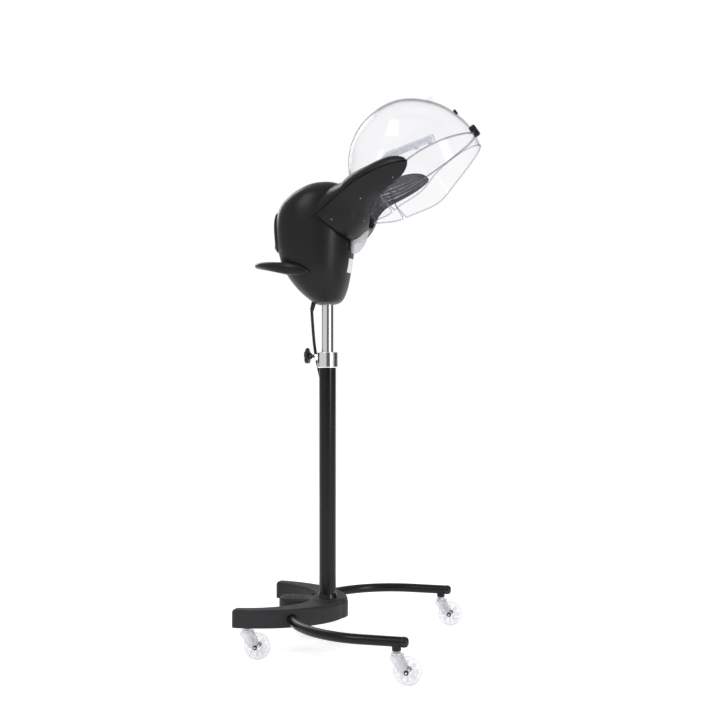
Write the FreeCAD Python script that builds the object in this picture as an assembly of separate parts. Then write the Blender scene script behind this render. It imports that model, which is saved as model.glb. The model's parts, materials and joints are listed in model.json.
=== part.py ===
"""Salon hair steamer: a clear hood on a black steam head, on a height-adjustable wheeled stand.

Millimetres. The origin is on the column's axis at floor level, +X points to the client and the hood,
+Y to the left of someone who stands behind the machine, and +Z up.
"""
import FreeCAD
import Part
import math
import os

from FreeCAD import Vector

# Stand
CASTER_WHEEL_D = 60.0
CASTER_WHEEL_W = 22.0
CASTER_HEIGHT = 72.0
CASTER_TRAIL = 24.0
FRONT_CASTER_X = 227.0
FRONT_CASTER_Y = 268.0
REAR_CASTER_X = -146.0
REAR_CASTER_Y = 158.0
STEM_D = 10.0
LEG_D = 22.0
LEG_WALL = 2.0
LEG_REAR_X = -61.0
LEG_BEND_R = 211.0
LEG_FRONT_X = 245.0
LEG_CAP_L = 9.0
LEG_Z = 90.0
COVER_A = 240.0
COVER_B = 177.0
COVER_CENTRE_X = -195.0
COVER_END_X = -180.0
COVER_TOP_Z = 113.0
COVER_WALL = 4.0
BAY_A = 162.0
BAY_B = 145.0
TONGUE_HALF_W = 28.0
TONGUE_END_X = -120.0
HUB_R = 43.0
PLATE_T = 8.0
RIDGE_COUNT = 6

# Column and lift
COLUMN_D = 40.0
COLUMN_WALL = 2.5
COLUMN_TOP_Z = 663.0
COLLAR_D = 49.0
COLLAR_H = 38.0
LIFT_D = 28.0
LIFT_WALL = 2.0
LIFT_BOTTOM_Z = 380.0
LIFT_TOP_Z = 905.0
BOILER_TOP_Z = 968.0
SLIDE_GAP = 0.05
KNOB_D = 41.0
KNOB_T = 17.0
KNOB_X = -48.0
KNOB_STUD_D = 8.0

# Head
SHELL_WALL = 3.0
HEAD_BOTTOM_Z = 813.0
# z, rear x, front x, half width of the head's level sections
HEAD_SECTIONS = [
    (813.0, -26.0, 20.0, 22.0),
    (822.0, -37.0, 33.0, 44.0),
    (849.0, -68.0, 45.0, 66.0),
    (887.0, -97.0, 53.0, 82.0),
    (922.0, -112.0, 59.0, 88.0),
    (970.0, -120.0, 63.0, 92.0),
    (1020.0, -120.0, 68.0, 93.0),
    (1050.0, -109.0, 60.0, 90.0),
    (1075.0, -83.0, 52.0, 82.0),
    (1094.0, -50.0, 42.0, 64.0),
    (1104.0, -20.0, 28.0, 36.0),
]
HEAD_POWERS = (2.3, 2.3)
SEAM = [(-140.0, 912.0), (-117.0, 930.0), (-68.0, 961.0), (-2.0, 1019.0), (66.0, 1069.0),
        (101.0, 1091.0), (153.0, 1112.0), (190.0, 1122.0), (221.0, 1126.0), (250.0, 1127.0)]
COLLAR_TOP = [(-60.0, 1066.0), (-20.0, 1083.0), (12.0, 1091.0), (50.0, 1101.0), (84.0, 1112.5),
              (122.0, 1123.0), (153.0, 1133.0), (182.0, 1140.0), (206.0, 1138.5), (221.0, 1127.0)]
COLLAR_UNDER = [(221.0, 1121.0), (212.0, 1098.0), (180.0, 1060.0), (140.0, 1020.0), (118.0, 983.0),
                (100.0, 955.0), (66.0, 962.0), (-60.0, 1061.0)]
EAR_PLAN = [(-60.0, 80.0), (0.0, 94.0), (60.0, 109.0), (120.0, 127.0), (180.0, 139.0), (235.0, 143.0)]
# z, front x, half width of the collar's hull, widest at HULL_WIDEST_X
HULL_SECTIONS = [
    (962.0, 74.0, 40.0),
    (976.0, 92.0, 72.0),
    (992.0, 104.0, 87.0),
    (1010.0, 112.0, 95.0),
    (1030.0, 121.0, 99.5),
    (1050.0, 143.0, 105.0),
    (1070.0, 190.0, 113.0),
    (1090.0, 252.0, 123.0),
    (1110.0, 310.0, 136.0),
    (1130.0, 380.0, 150.0),
    (1150.0, 450.0, 160.0),
]
HULL_WIDEST_X = 60.0
HULL_REAR_X = -170.0
HULL_POWER = 2.5
# inner edge of the collar's two arms in plan, from its apex to their tips
ARM_INSIDE = [(107.0, 0.0), (110.0, 20.0), (115.0, 40.0), (124.0, 52.0), (138.0, 60.0), (164.0, 78.0),
              (192.0, 100.0), (208.0, 113.0), (222.0, 128.0)]
CUP_NOTCH = 1.5
SCREWS = [(36.0, 1006.0), (105.0, 1051.0), (184.0, 1094.0), (104.0, 1005.0)]
SCREW_HEAD_R, SCREW_HEAD_T = 3.2, 2.0
SCREW_R, SCREW_SHANK = 1.6, 2.2
SCREW_SUNK = 0.8
CRADLE_LEAST = 2000.0

# Hood, in its own axes: u runs up and forward along the opening, n up and back into the dome
HOOD_X = 115.0
HOOD_Z = 1005.0
HOOD_TILT = 34.7
HOOD_WALL = 3.0
HOOD_CLEARANCE = 0.8
HOOD_WIDEST_U = 176.0
# n, rear u, front u, half width, power of the rounding behind and before the widest place
HOOD_SECTIONS = [
    (-45.0, 10.0, 290.0, 106.0, 1.5, 1.6),
    (0.0, 0.0, 305.0, 114.0, 1.55, 1.65),
    (45.0, -2.0, 311.0, 120.0, 1.7, 1.8),
    (90.0, 4.0, 303.0, 121.5, 1.9, 1.95),
    (130.0, 18.0, 286.0, 116.0, 2.05, 2.05),
    (165.0, 44.0, 258.0, 102.0, 2.1, 2.1),
    (190.0, 74.0, 226.0, 78.0, 2.1, 2.1),
    (204.0, 104.0, 192.0, 46.0, 2.1, 2.1),
    (209.0, 130.0, 166.0, 19.0, 2.1, 2.1),
]
RIM = [(-20.0, 0.0), (0.0, 0.0), (40.0, -15.0), (88.0, -24.0), (144.0, -31.0), (201.0, -17.0),
       (264.0, -6.0), (330.0, 0.0)]
VISOR_TOP = [(52.0, -60.0), (58.0, 20.0), (95.0, 42.0), (155.0, 45.0), (235.0, 40.0), (335.0, 24.0)]
VISOR_GAP = 1.0
VISOR_PIVOT_U = 318.0
VISOR_PIVOT_N = 33.0
HINGE_PIN_D = 4.0

# Steam path
PIPE_D = 14.0
PIPE_X = 20.0
DIFFUSER_START = (146.0, 0.0, 1163.0)
DIFFUSER_L = 118.0
DIFFUSER_RISE = 19.0

# Rear panel, handle, cup
PANEL_X = -129.0
PANEL_T = 6.0
PANEL_Z0 = 937.0
PANEL_Z1 = 1035.0
PANEL_HALF_W = 44.0
BUTTON_D = 16.0
BUTTON_GAP = 0.4
BUTTON_PROUD = 1.4
BUTTON_ZS = (955.0, 978.0, 1001.0)
HANDLE_A = 129.0
HANDLE_B = 98.0
HANDLE_BAND = 22.0
HANDLE_X = -50.0
CUP_X0 = 62.0
CUP_X1 = 104.0
CUP_Z0 = 936.0
CUP_Z1 = 989.0
CUP_HALF_W = 30.0
CUP_WALL = 2.0
CAP_D = 44.0
CAP_X = -22.0

# Power cord
CORD_D = 7.0
COIL_X = -117.0
COIL_Y = 384.0
COIL_R = 38.5
CORD_HANG = [(-39.5, 0.0, 800.0), (-38.6, 5.0, 762.0), (-36.0, 13.0, 706.0), (-27.0, 24.0, 650.0),
             (-14.0, 31.0, 588.0), (-8.5, 33.0, 505.0), (-7.0, 33.5, 405.0), (-7.5, 34.5, 305.0),
             (-9.0, 37.0, 215.0)]
CORD_FLOOR = [(-9.0, 37.0, 214.7), (-9.8, 38.3, 168.0), (-19.0, 68.0, 134.0), (-30.0, 112.0, 127.0),
              (-41.0, 158.0, 118.0), (-52.0, 196.0, 84.0), (-60.0, 222.0, 38.0), (-66.0, 262.0, 6.5),
              (-72.0, 314.0, 3.6), (-75.0, 352.0, 3.55), (-75.0, 382.0, 3.5)]
PLUG_L = 34.0
PLUG_W = 24.0
PLUG_H = 17.0
PIN_L = 18.0

LEFT, RIGHT = 1, -1
FAR = 400.0
os.makedirs("parts", exist_ok=True)


def save(name, shape):
    """Write one node, after a check that it is sound."""
    if not shape.isValid() or not shape.Solids:
        print("BAD", name, shape.isValid(), len(shape.Solids))
    shape.exportStep("parts/" + name + ".step")
    box = shape.optimalBoundingBox(False)
    print("%-24s %2d solids %9.0f mm3  x %6.1f %6.1f  y %6.1f %6.1f  z %6.1f %6.1f" % (
        name, len(shape.Solids), shape.Volume, box.XMin, box.XMax, box.YMin, box.YMax, box.ZMin, box.ZMax))


def rod(radius, length, at, along=Vector(0, 0, 1)):
    return Part.makeCylinder(radius, length, Vector(*at), Vector(*along))


def tube(outer, inner, length, at, along=Vector(0, 0, 1)):
    return rod(outer, length, at, along).cut(rod(inner, length, at, along))


def box(x0, x1, y0, y1, z0, z1):
    return Part.makeBox(x1 - x0, y1 - y0, z1 - z0, Vector(x0, y0, z0))


def spline(points, closed=False):
    curve = Part.BSplineCurve()
    curve.interpolate(Points=points, PeriodicFlag=closed)
    return curve.toShape()


def prism(edges, along):
    """A solid swept straight from the face inside a closed chain of edges."""
    return Part.Face(Part.Wire(edges)).extrude(along)


def side_prism(curve, closing):
    """The full-width solid inside a curve and straight closing lines, given as x, z points."""
    points = [Vector(x, -FAR, z) for x, z in curve]
    corners = [points[-1]] + [Vector(x, -FAR, z) for x, z in closing] + [points[0]]
    edges = [spline(points)]
    edges += [Part.LineSegment(a, b).toShape() for a, b in zip(corners, corners[1:]) if a != b]
    return prism(edges, Vector(0, 2 * FAR, 0))


def mirrored(shape):
    return shape.mirror(Vector(0, 0, 0), Vector(0, 1, 0))


def group(shapes):
    return Part.makeCompound(shapes)


def one(shape):
    """The shape without seams between faces of the same surface."""
    clean = shape.removeSplitter()
    return clean if clean.isValid() else shape


def biggest(shape):
    return max(shape.Solids, key=lambda s: s.Volume)


# ---------------------------------------------------------------- stand

def leg_path():
    y = LEG_BEND_R + (FRONT_CASTER_Y - LEG_BEND_R)
    bend_x = LEG_REAR_X + LEG_BEND_R
    bend_y = y - LEG_BEND_R
    c = math.cos(math.pi / 4) * LEG_BEND_R
    front = [Vector(LEG_FRONT_X, s * y, LEG_Z) for s in (RIGHT, LEFT)]
    start = [Vector(bend_x, s * y, LEG_Z) for s in (RIGHT, LEFT)]
    middle = [Vector(bend_x - c, s * (bend_y + c), LEG_Z) for s in (RIGHT, LEFT)]
    end = [Vector(LEG_REAR_X, s * bend_y, LEG_Z) for s in (RIGHT, LEFT)]
    return Part.Wire([
        Part.LineSegment(front[0], start[0]).toShape(),
        Part.Arc(start[0], middle[0], end[0]).toShape(),
        Part.LineSegment(end[0], end[1]).toShape(),
        Part.Arc(end[1], middle[1], start[1]).toShape(),
        Part.LineSegment(start[1], front[1]).toShape()])


def swept(path, radius):
    """A round bar along a wire."""
    edge = path.OrderedEdges[0]
    at, along = edge.valueAt(edge.FirstParameter), edge.tangentAt(edge.FirstParameter)
    ends = [path.OrderedVertexes[0].Point, path.OrderedVertexes[1].Point]
    if at.distanceToPoint(ends[0]) > at.distanceToPoint(ends[1]):
        at = edge.valueAt(edge.LastParameter)
    ring = Part.Wire(Part.makeCircle(radius, at, along))
    return path.makePipeShell([ring], True, False)


def leg_bar(radius):
    return swept(leg_path(), radius)


def leg_tube():
    return leg_bar(LEG_D / 2).cut(leg_bar(LEG_D / 2 - LEG_WALL))


def leg_caps():
    caps = []
    for side in (LEFT, RIGHT):
        at = (LEG_FRONT_X, side * FRONT_CASTER_Y, LEG_Z)
        dome = rod(LEG_D / 2, LEG_CAP_L, at, (1, 0, 0))
        rim = [e for e in dome.Edges if abs(e.CenterOfMass.x - LEG_FRONT_X - LEG_CAP_L) < 0.1]
        dome = dome.makeFillet(LEG_CAP_L * 0.8, rim)
        spigot = rod(LEG_D / 2 - LEG_WALL, 14.0, (at[0] - 14.0, at[1], at[2]), (1, 0, 0))
        caps.append(dome.fuse(spigot))
    return group(caps)


def leg_bosses():
    bar = leg_bar(LEG_D / 2)
    bosses = []
    for side in (LEFT, RIGHT):
        at = (FRONT_CASTER_X, side * FRONT_CASTER_Y, CASTER_HEIGHT)
        boss = rod(10.0, LEG_Z - CASTER_HEIGHT, at).cut(bar)
        bosses.append(biggest(boss).cut(rod(STEM_D / 2, LEG_Z, at)))
    return group(bosses)


def ellipse_column(a, b, z0, z1, x=COVER_CENTRE_X):
    """An upright elliptical solid, a along X and b along Y."""
    turned = b > a
    curve = Part.Ellipse(Vector(x, 0, z0), max(a, b), min(a, b))
    solid = prism([curve.toShape()], Vector(0, 0, z1 - z0))
    if turned:
        solid.rotate(Vector(x, 0, 0), Vector(0, 0, 1), 90)
    return solid


def cover_plan(inset, z0, z1):
    """The base moulding's outline, drawn in by inset, as an upright solid."""
    ring = ellipse_column(COVER_A - inset, COVER_B - inset, z0, z1)
    ring = ring.cut(ellipse_column(BAY_A + inset, BAY_B + inset, z0, z1))
    end = COVER_END_X + inset
    ring = ring.cut(box(-2 * FAR, end, -FAR, FAR, z0, z1))
    reach = TONGUE_HALF_W - inset
    tongue = box(TONGUE_END_X + TONGUE_HALF_W, 0, -reach, reach, z0, z1)
    tongue = tongue.fuse(rod(reach, z1 - z0, (TONGUE_END_X + TONGUE_HALF_W, 0, z0)))
    hub = rod(HUB_R + 6.0 - inset, z1 - z0, (0, 0, z0))
    return ring.fuse([tongue, hub])


def base_cover():
    outer = one(cover_plan(0, CASTER_HEIGHT, COVER_TOP_Z))
    upright = [e for e in outer.Edges if abs(e.CenterOfMass.x - COVER_END_X) < 1.0
               and e.BoundBox.ZLength > 30]
    if upright:
        outer = outer.makeFillet(12.0, upright)
    top = [e for e in outer.Edges if e.BoundBox.ZMin > COVER_TOP_Z - 0.1]
    outer = outer.makeFillet(8.0, top)
    hollow = one(cover_plan(COVER_WALL, CASTER_HEIGHT, COVER_TOP_Z - COVER_WALL - 4.0))
    boss = Part.makeCone(HUB_R, HUB_R - 4.0, 3.0, Vector(0, 0, COVER_TOP_Z))
    cover = outer.fuse(boss).cut(hollow)
    bore = rod(COLUMN_D / 2, 2 * FAR, (0, 0, 0))
    cover = cover.cut(bore).cut(leg_bar(LEG_D / 2 + 1.0))
    pitch = 9.0
    for k in range(RIDGE_COUNT):
        ridge = box(-1.5, 1.5, -15.0, 15.0, COVER_TOP_Z, COVER_TOP_Z + 1.4)
        ridge.rotate(Vector(0, 0, 0), Vector(0, 0, 1), 24)
        ridge.translate(Vector(-64.0 - pitch * k, 0, 0))
        cover = cover.fuse(ridge)
    return biggest(cover)


def plate_z():
    return LEG_Z - LEG_D / 2 - PLATE_T


def base_plate():
    """Steel weight plate under the cover, which carries the legs, the column and the rear casters."""
    z = plate_z()
    plate = one(cover_plan(COVER_WALL + 1.0, z, z + PLATE_T))
    for side in (LEFT, RIGHT):
        plate = plate.cut(rod(STEM_D / 2, FAR, (REAR_CASTER_X, side * REAR_CASTER_Y, 0)))
    for x, y in bolt_places():
        plate = plate.cut(rod(4.0, FAR, (x, y, 0)))
    return plate


def bolt_places():
    return [(14.0 * math.cos(a), 14.0 * math.sin(a)) for a in (math.pi / 4 + k * math.pi / 2
                                                              for k in range(4))]


def column_foot():
    """Turned steel plug inside the column's lower end, bolted to the plate."""
    foot = rod(COLUMN_D / 2 - COLUMN_WALL, 40.0, (0, 0, plate_z() + PLATE_T))
    for x, y in bolt_places():
        foot = foot.cut(rod(3.0, 20.0, (x, y, plate_z() + PLATE_T)))
    return foot.cut(leg_bar(LEG_D / 2))


def column_bolts():
    bolts = []
    for x, y in bolt_places():
        head = rod(6.0, 5.0, (x, y, plate_z() - 5.0))
        bolts.append(head.fuse(rod(3.0, PLATE_T + 20.0, (x, y, plate_z()))))
    return group(bolts)


def column_tube():
    base = plate_z() + PLATE_T
    wall = tube(COLUMN_D / 2, COLUMN_D / 2 - COLUMN_WALL, COLUMN_TOP_Z - base, (0, 0, base))
    return wall.cut(leg_bar(LEG_D / 2))


def column_ring():
    z = COVER_TOP_Z + 3.0
    cone = Part.makeCone(COLLAR_D / 2, COLUMN_D / 2 + 1.5, 9.0, Vector(0, 0, z))
    return cone.cut(rod(COLUMN_D / 2, FAR, (0, 0, z - 1.0)))


def guide_bush():
    """Nylon bush in the column's mouth that the lift tube slides in."""
    bore = LIFT_D / 2 + SLIDE_GAP
    sleeve = tube(COLUMN_D / 2 - COLUMN_WALL, bore, 60.0, (0, 0, COLUMN_TOP_Z - 60.0))
    lip = tube(COLUMN_D / 2, bore, 4.0, (0, 0, COLUMN_TOP_Z))
    return one(sleeve.fuse(lip))


def clamp_collar():
    z0 = COLUMN_TOP_Z - 0.0
    body = rod(COLLAR_D / 2, COLLAR_H, (0, 0, z0))
    rims = [e for e in body.Edges if abs(e.BoundBox.ZLength) < 0.1]
    body = body.makeFillet(2.5, rims)
    boss = rod(9.0, COLLAR_D / 2 + 5.0, (0, 0, z0 + COLLAR_H * 0.7), (-1, 0, 0))
    body = body.fuse(boss)
    body = body.cut(rod(COLUMN_D / 2, 4.0, (0, 0, z0)))
    body = body.cut(rod(LIFT_D / 2 + SLIDE_GAP, FAR, (0, 0, z0)))
    stud = rod(KNOB_STUD_D / 2 + 0.05, FAR, (0, 0, z0 + COLLAR_H * 0.7), (-1, 0, 0))
    return body.cut(stud)


def lock_knob():
    z = COLUMN_TOP_Z + COLLAR_H * 0.7
    knob = rod(KNOB_D / 2 - 4.0, KNOB_T, (KNOB_X, 0, z), (-1, 0, 0))
    for k in range(5):
        a = k * math.tau / 5
        at = (KNOB_X, (KNOB_D / 2 - 7.0) * math.sin(a), z + (KNOB_D / 2 - 7.0) * math.cos(a))
        knob = knob.fuse(rod(7.0, KNOB_T, at, (-1, 0, 0)))
    tip = LIFT_D / 2 + 0.3
    stud = rod(KNOB_STUD_D / 2, -KNOB_X - tip, (-tip, 0, z), (-1, 0, 0))
    neck = rod(8.0, 7.0, (KNOB_X + 7.0, 0, z), (-1, 0, 0))
    return one(knob.fuse([neck, stud]))


# ---------------------------------------------------------------- casters

def caster_places():
    return [("front_left", FRONT_CASTER_X, FRONT_CASTER_Y), ("front_right", FRONT_CASTER_X, -FRONT_CASTER_Y),
            ("rear_left", REAR_CASTER_X, REAR_CASTER_Y), ("rear_right", REAR_CASTER_X, -REAR_CASTER_Y)]


def caster_stems():
    stems = []
    for _, x, y in caster_places():
        top = LEG_Z - LEG_D / 2 if x > 0 else plate_z() + PLATE_T + 8.0
        stem = rod(STEM_D / 2, top - CASTER_HEIGHT + 6.0, (x, y, CASTER_HEIGHT - 6.0))
        if x < 0:
            nut_z = plate_z() + PLATE_T
            stem = stem.fuse(rod(9.0, 7.0, (x, y, nut_z)))
        stems.append(stem)
    return group(stems)


def fork(x, y):
    """Pressed steel fork with a domed swivel cup, its wheel trailing forward of the stem."""
    plate_top = CASTER_HEIGHT - 1.0
    half = CASTER_WHEEL_W / 2 + 1.5
    wall = 2.0
    wheel_x = x + CASTER_TRAIL
    axle_z = CASTER_WHEEL_D / 2
    cup = rod(15.0, 7.0, (x, y, plate_top - 7.0))
    crown = box(x - 13.0, wheel_x - 2.0, y - half - wall, y + half + wall, plate_top - 9.0, plate_top - 7.0)
    cheeks = []
    for side in (LEFT, RIGHT):
        y0 = y + side * half if side == LEFT else y - half - wall
        corners = [Vector(x - 13.0, y0, plate_top - 7.0), Vector(wheel_x - 2.0, y0, plate_top - 7.0),
                   Vector(wheel_x + 7.0, y0, axle_z), Vector(wheel_x + 5.0, y0, axle_z - 6.0),
                   Vector(wheel_x - 5.0, y0, axle_z - 6.0), Vector(x - 9.0, y0, plate_top - 16.0)]
        edges = [Part.LineSegment(a, b).toShape() for a, b in zip(corners, corners[1:] + corners[:1])]
        cheeks.append(prism(edges, Vector(0, wall, 0)))
    body = cup.fuse([crown] + cheeks)
    body = body.cut(rod(STEM_D / 2 + 0.05, FAR, (x, y, CASTER_HEIGHT - 6.0)))
    return one(body.cut(rod(3.0, FAR, (wheel_x, y - FAR / 2, axle_z), (0, 1, 0))))


def axle(x, y):
    length = CASTER_WHEEL_W + 12.0
    at = (x + CASTER_TRAIL, y - length / 2, CASTER_WHEEL_D / 2)
    return rod(3.0, length, at, (0, 1, 0))


def wheel(x, y):
    at = (x + CASTER_TRAIL, y - CASTER_WHEEL_W / 2, CASTER_WHEEL_D / 2)
    tyre = rod(CASTER_WHEEL_D / 2, CASTER_WHEEL_W, at, (0, 1, 0))
    tyre = tyre.makeFillet(4.0, [e for e in tyre.Edges if e.BoundBox.YLength < 0.1])
    hub_at = (at[0], y - CASTER_WHEEL_W / 2 - 1.0, at[2])
    hub = rod(9.0, CASTER_WHEEL_W + 2.0, hub_at, (0, 1, 0))
    return one(tyre.fuse(hub).cut(rod(3.05, FAR, (at[0], y - FAR / 2, at[2]), (0, 1, 0))))


# ---------------------------------------------------------------- head

def egg(rear, widest, front, half, powers, to_point, count=20):
    """A closed superellipse wire with its own reach and power behind and before its widest place."""
    points = []
    for k in range(count):
        t = math.tau * k / count
        c, s = math.cos(t), math.sin(t)
        reach, power = (widest - rear, powers[0]) if c < 0 else (front - widest, powers[1])
        a = widest + reach * math.copysign(abs(c) ** (2 / power), c)
        b = half * math.copysign(abs(s) ** (2 / power), s)
        points.append(to_point(a, b))
    return Part.Wire(spline(points, True))


def head_solid(inset):
    wires = []
    for z, rear, front, half in HEAD_SECTIONS:
        level = z
        if z == HEAD_SECTIONS[0][0]:
            level = z + inset
        if z == HEAD_SECTIONS[-1][0]:
            level = z - inset
        wires.append(egg(rear + inset, (rear + front) / 2, front - inset, half - inset, HEAD_POWERS,
                         lambda a, b, z=level: Vector(a, b, z)))
    return Part.makeLoft(wires, True, False)


def above_seam(lift=0.0):
    curve = [(x, z + lift) for x, z in SEAM]
    return side_prism(curve, [(SEAM[-1][0], 1400.0), (SEAM[0][0], 1400.0)])


def lift_bore():
    return rod(LIFT_D / 2, FAR, (0, 0, HEAD_BOTTOM_Z - 10.0))


def head_shell():
    return head_solid(0.0).cut(head_solid(SHELL_WALL))


def pod_shells():
    lower = head_shell().cut(above_seam()).cut(lift_bore()).cut(strain_relief())
    halves = {}
    for name, y0, y1 in (("left", 0.0, FAR), ("right", -FAR, 0.0)):
        halves[name] = biggest(lower.common(box(-FAR, FAR, y0, y1, 700.0, 1300.0)))
    return halves


def cap_recess():
    return rod(CAP_D / 2, FAR, (CAP_X, 0, 1090.0))


def rear_dome():
    upper = head_shell().common(above_seam())
    return biggest(upper.cut([cap_recess(), panel_block(0.0), pipe_clearance(), circuit_board()]))


def collar_plan(outset, z0, z1):
    """The collar's outer plan: it grows out of the head's sides and widens into two ears."""
    points = [Vector(x, y + outset, z0) for x, y in EAR_PLAN]
    near = [Vector(p.x, -p.y, p.z) for p in points]
    edges = [spline(points), Part.LineSegment(points[-1], near[-1]).toShape(), spline(near),
             Part.LineSegment(near[0], points[0]).toShape()]
    return prism(edges, Vector(0, 0, z1 - z0))


def hull(inset):
    """The collar's outside: a boat-like form whose sides lean in towards its keel."""
    wires = []
    for z, front, half in HULL_SECTIONS:
        level = z + inset if z == HULL_SECTIONS[0][0] else z
        wires.append(egg(HULL_REAR_X + inset, HULL_WIDEST_X, front - inset, half - inset,
                         (HULL_POWER, HULL_POWER), lambda a, b, z=level: Vector(a, b, z)))
    return Part.makeLoft(wires, True, False)


def outset(points, gap):
    """Plane points moved outwards by gap, square to the line through them."""
    moved = []
    for k, (x, y) in enumerate(points):
        before, after = points[max(k - 1, 0)], points[min(k + 1, len(points) - 1)]
        dx, dy = after[0] - before[0], after[1] - before[1]
        if k == 0:
            dx, dy = 0.0, 1.0
        size = math.hypot(dx, dy)
        moved.append((x - gap * dy / size, y + gap * dx / size))
    return moved


def bowl(gap, z0, z1):
    """The space between the collar's arms, open to the front."""
    half = outset(ARM_INSIDE, gap)
    curve = [Vector(x, -y, z0) for x, y in reversed(half[1:])] + [Vector(x, y, z0) for x, y in half]
    near, far = curve[0], curve[-1]
    corners = [far, Vector(FAR, far.y, z0), Vector(FAR, near.y, z0), near]
    edges = [spline(curve)] + [Part.LineSegment(p, q).toShape() for p, q in zip(corners, corners[1:])]
    return prism(edges, Vector(0, 0, z1 - z0))


def seat(gap):
    """The space that the hood takes between the arms, and the way into it from below."""
    z0, z1 = 900.0, 1200.0
    return [bowl(gap, z0, z1), hood_solid(-HOOD_CLEARANCE - gap)]


def collar_profile():
    top = [Vector(x, -FAR, z) for x, z in COLLAR_TOP]
    under = [Vector(x, -FAR, z) for x, z in COLLAR_UNDER]
    edges = [spline(top), Part.LineSegment(top[-1], under[0]).toShape(), spline(under[:6]),
             Part.LineSegment(under[5], under[6]).toShape(), Part.LineSegment(under[6], under[7]).toShape(),
             Part.LineSegment(under[7], top[0]).toShape()]
    return prism(edges, Vector(0, 2 * FAR, 0))


def collar_room(below):
    """The hollow inside the collar, open downwards at the seam for the top cover."""
    z0, z1 = 900.0, 1200.0
    space = collar_profile()
    space.translate(Vector(-SHELL_WALL, 0, -below))
    room = collar_plan(-SHELL_WALL, z0, z1).common(hull(SHELL_WALL)).common(space)
    return room.cut(seat(2 * SHELL_WALL))


def cup_notch():
    """Room under the collar for the drip cup and its travel."""
    half = CUP_HALF_W + CUP_NOTCH
    return box(CUP_X0, FAR, -half, half, 900.0, CUP_Z1 + CUP_NOTCH)


def collar_pieces():
    """The collar's top cover, two side panels and the inner cradle."""
    z0, z1 = 900.0, 1200.0
    above = above_seam()
    head = head_solid(0.0)
    block = collar_plan(0.0, z0, z1).common(collar_profile()).common(hull(0.0))
    block = block.cut(seat(0.0)).cut([head, cup_notch(), pipe_clearance()])
    top = biggest(block.common(above).cut(collar_room(SHELL_WALL)))
    lower = block.cut(above)
    lined = seat(SHELL_WALL)
    lining = lower.cut(lower.cut(lined))
    cradle = group([s for s in lining.Solids if s.Volume > CRADLE_LEAST])
    skins = lower.cut(lined).cut(collar_room(-SHELL_WALL))
    sides = [biggest(skins.common(box(-FAR, FAR, y0, y1, z0, z1))) for y0, y1 in ((0.0, FAR), (-FAR, 0.0))]
    return top, sides[0], sides[1], cradle


def hood_place(u, n, y=0.0):
    a = math.radians(HOOD_TILT)
    return Vector(HOOD_X + u * math.cos(a) - n * math.sin(a), y, HOOD_Z + u * math.sin(a) + n * math.cos(a))


def hood_solid(inset):
    wires = []
    for n, rear, front, half, behind, before in HOOD_SECTIONS:
        level = n - inset if n == HOOD_SECTIONS[-1][0] else n
        middle = min(HOOD_WIDEST_U, (rear + front) / 2 + (front - rear) / 12)
        wires.append(egg(rear + inset, middle, front - inset, half - inset, (behind, before),
                         lambda a, b, n=level: hood_place(a, n, b)))
    return Part.makeLoft(wires, True, False)


def hood_prism(curve, closing):
    """The full-width solid inside a curve given in the hood's own u, n axes."""
    along = Vector(0, 2 * FAR, 0)
    points = [hood_place(u, n, -FAR) for u, n in curve]
    corners = [points[-1]] + [hood_place(u, n, -FAR) for u, n in closing] + [points[0]]
    edges = [spline(points)]
    edges += [Part.LineSegment(a, b).toShape() for a, b in zip(corners, corners[1:])]
    return prism(edges, along)


def hood_pieces():
    shell = hood_solid(0.0).cut(hood_solid(HOOD_WALL))
    below = hood_prism(RIM, [(RIM[-1][0], -200.0), (RIM[0][0], -200.0)])
    shell = shell.cut(below)
    first, last = VISOR_TOP[0], VISOR_TOP[-1]
    band = hood_prism(VISOR_TOP, [(last[0], -200.0), (first[0], -200.0)])
    wide = [(u, n + VISOR_GAP) for u, n in VISOR_TOP]
    wide[0] = (first[0] - VISOR_GAP, first[1])
    wide[1] = (VISOR_TOP[1][0] - VISOR_GAP, VISOR_TOP[1][1])
    gap_band = hood_prism(wide, [(last[0], -200.0), (wide[0][0], -200.0)])
    dome = shell.cut(gap_band)
    visor = shell.common(band)
    return biggest(dome), biggest(visor)


def on_hood(solid, u, n, turn=0.0):
    """Place a solid made at the origin, with +Z along n and +X along u, on the hood."""
    out = solid.copy()
    out.rotate(Vector(0, 0, 0), Vector(0, 1, 0), -HOOD_TILT + turn)
    out.translate(hood_place(u, n))
    return out


def hinge_block():
    """Upper half of the visor hinge, fixed on the dome's front."""
    block = box(-13.0, 2.5, -9.0, 9.0, 5.2, 14.0)
    lugs = [box(-5.0, 5.0, y0, y0 + 4.0, -4.0, 6.0) for y0 in (-9.0, 5.0)]
    hinge = block.fuse(lugs).cut(rod(HINGE_PIN_D / 2, FAR, (0, -FAR / 2, 0), (0, 1, 0)))
    return on_hood(hinge, VISOR_PIVOT_U, VISOR_PIVOT_N)


def hinge_pin():
    pin = rod(HINGE_PIN_D / 2, 20.0, (0, -10.0, 0), (0, 1, 0))
    return on_hood(pin, VISOR_PIVOT_U, VISOR_PIVOT_N)


def visor_tab():
    """Lower half of the hinge, with the finger tab that lifts the visor."""
    leaf = box(-4.5, 4.5, -4.8, 4.8, -22.0, 1.5).fuse(box(-13.5, -4.5, -4.8, 4.8, -22.0, -8.0))
    return leaf.fuse(rod(4.4, 9.6, (0, -4.8, 0), (0, 1, 0))).cut(
        rod(HINGE_PIN_D / 2 + SLIDE_GAP, FAR, (0, -FAR / 2, 0), (0, 1, 0)))


def vent_knob():
    base = rod(9.0, 3.0, (0, 0, 0))
    stem = rod(3.0, 6.0, (0, 0, -6.0))
    cap = Part.makeCone(7.0, 5.5, 7.0, Vector(0, 0, 3.0))
    return base.fuse([stem, cap])


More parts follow.
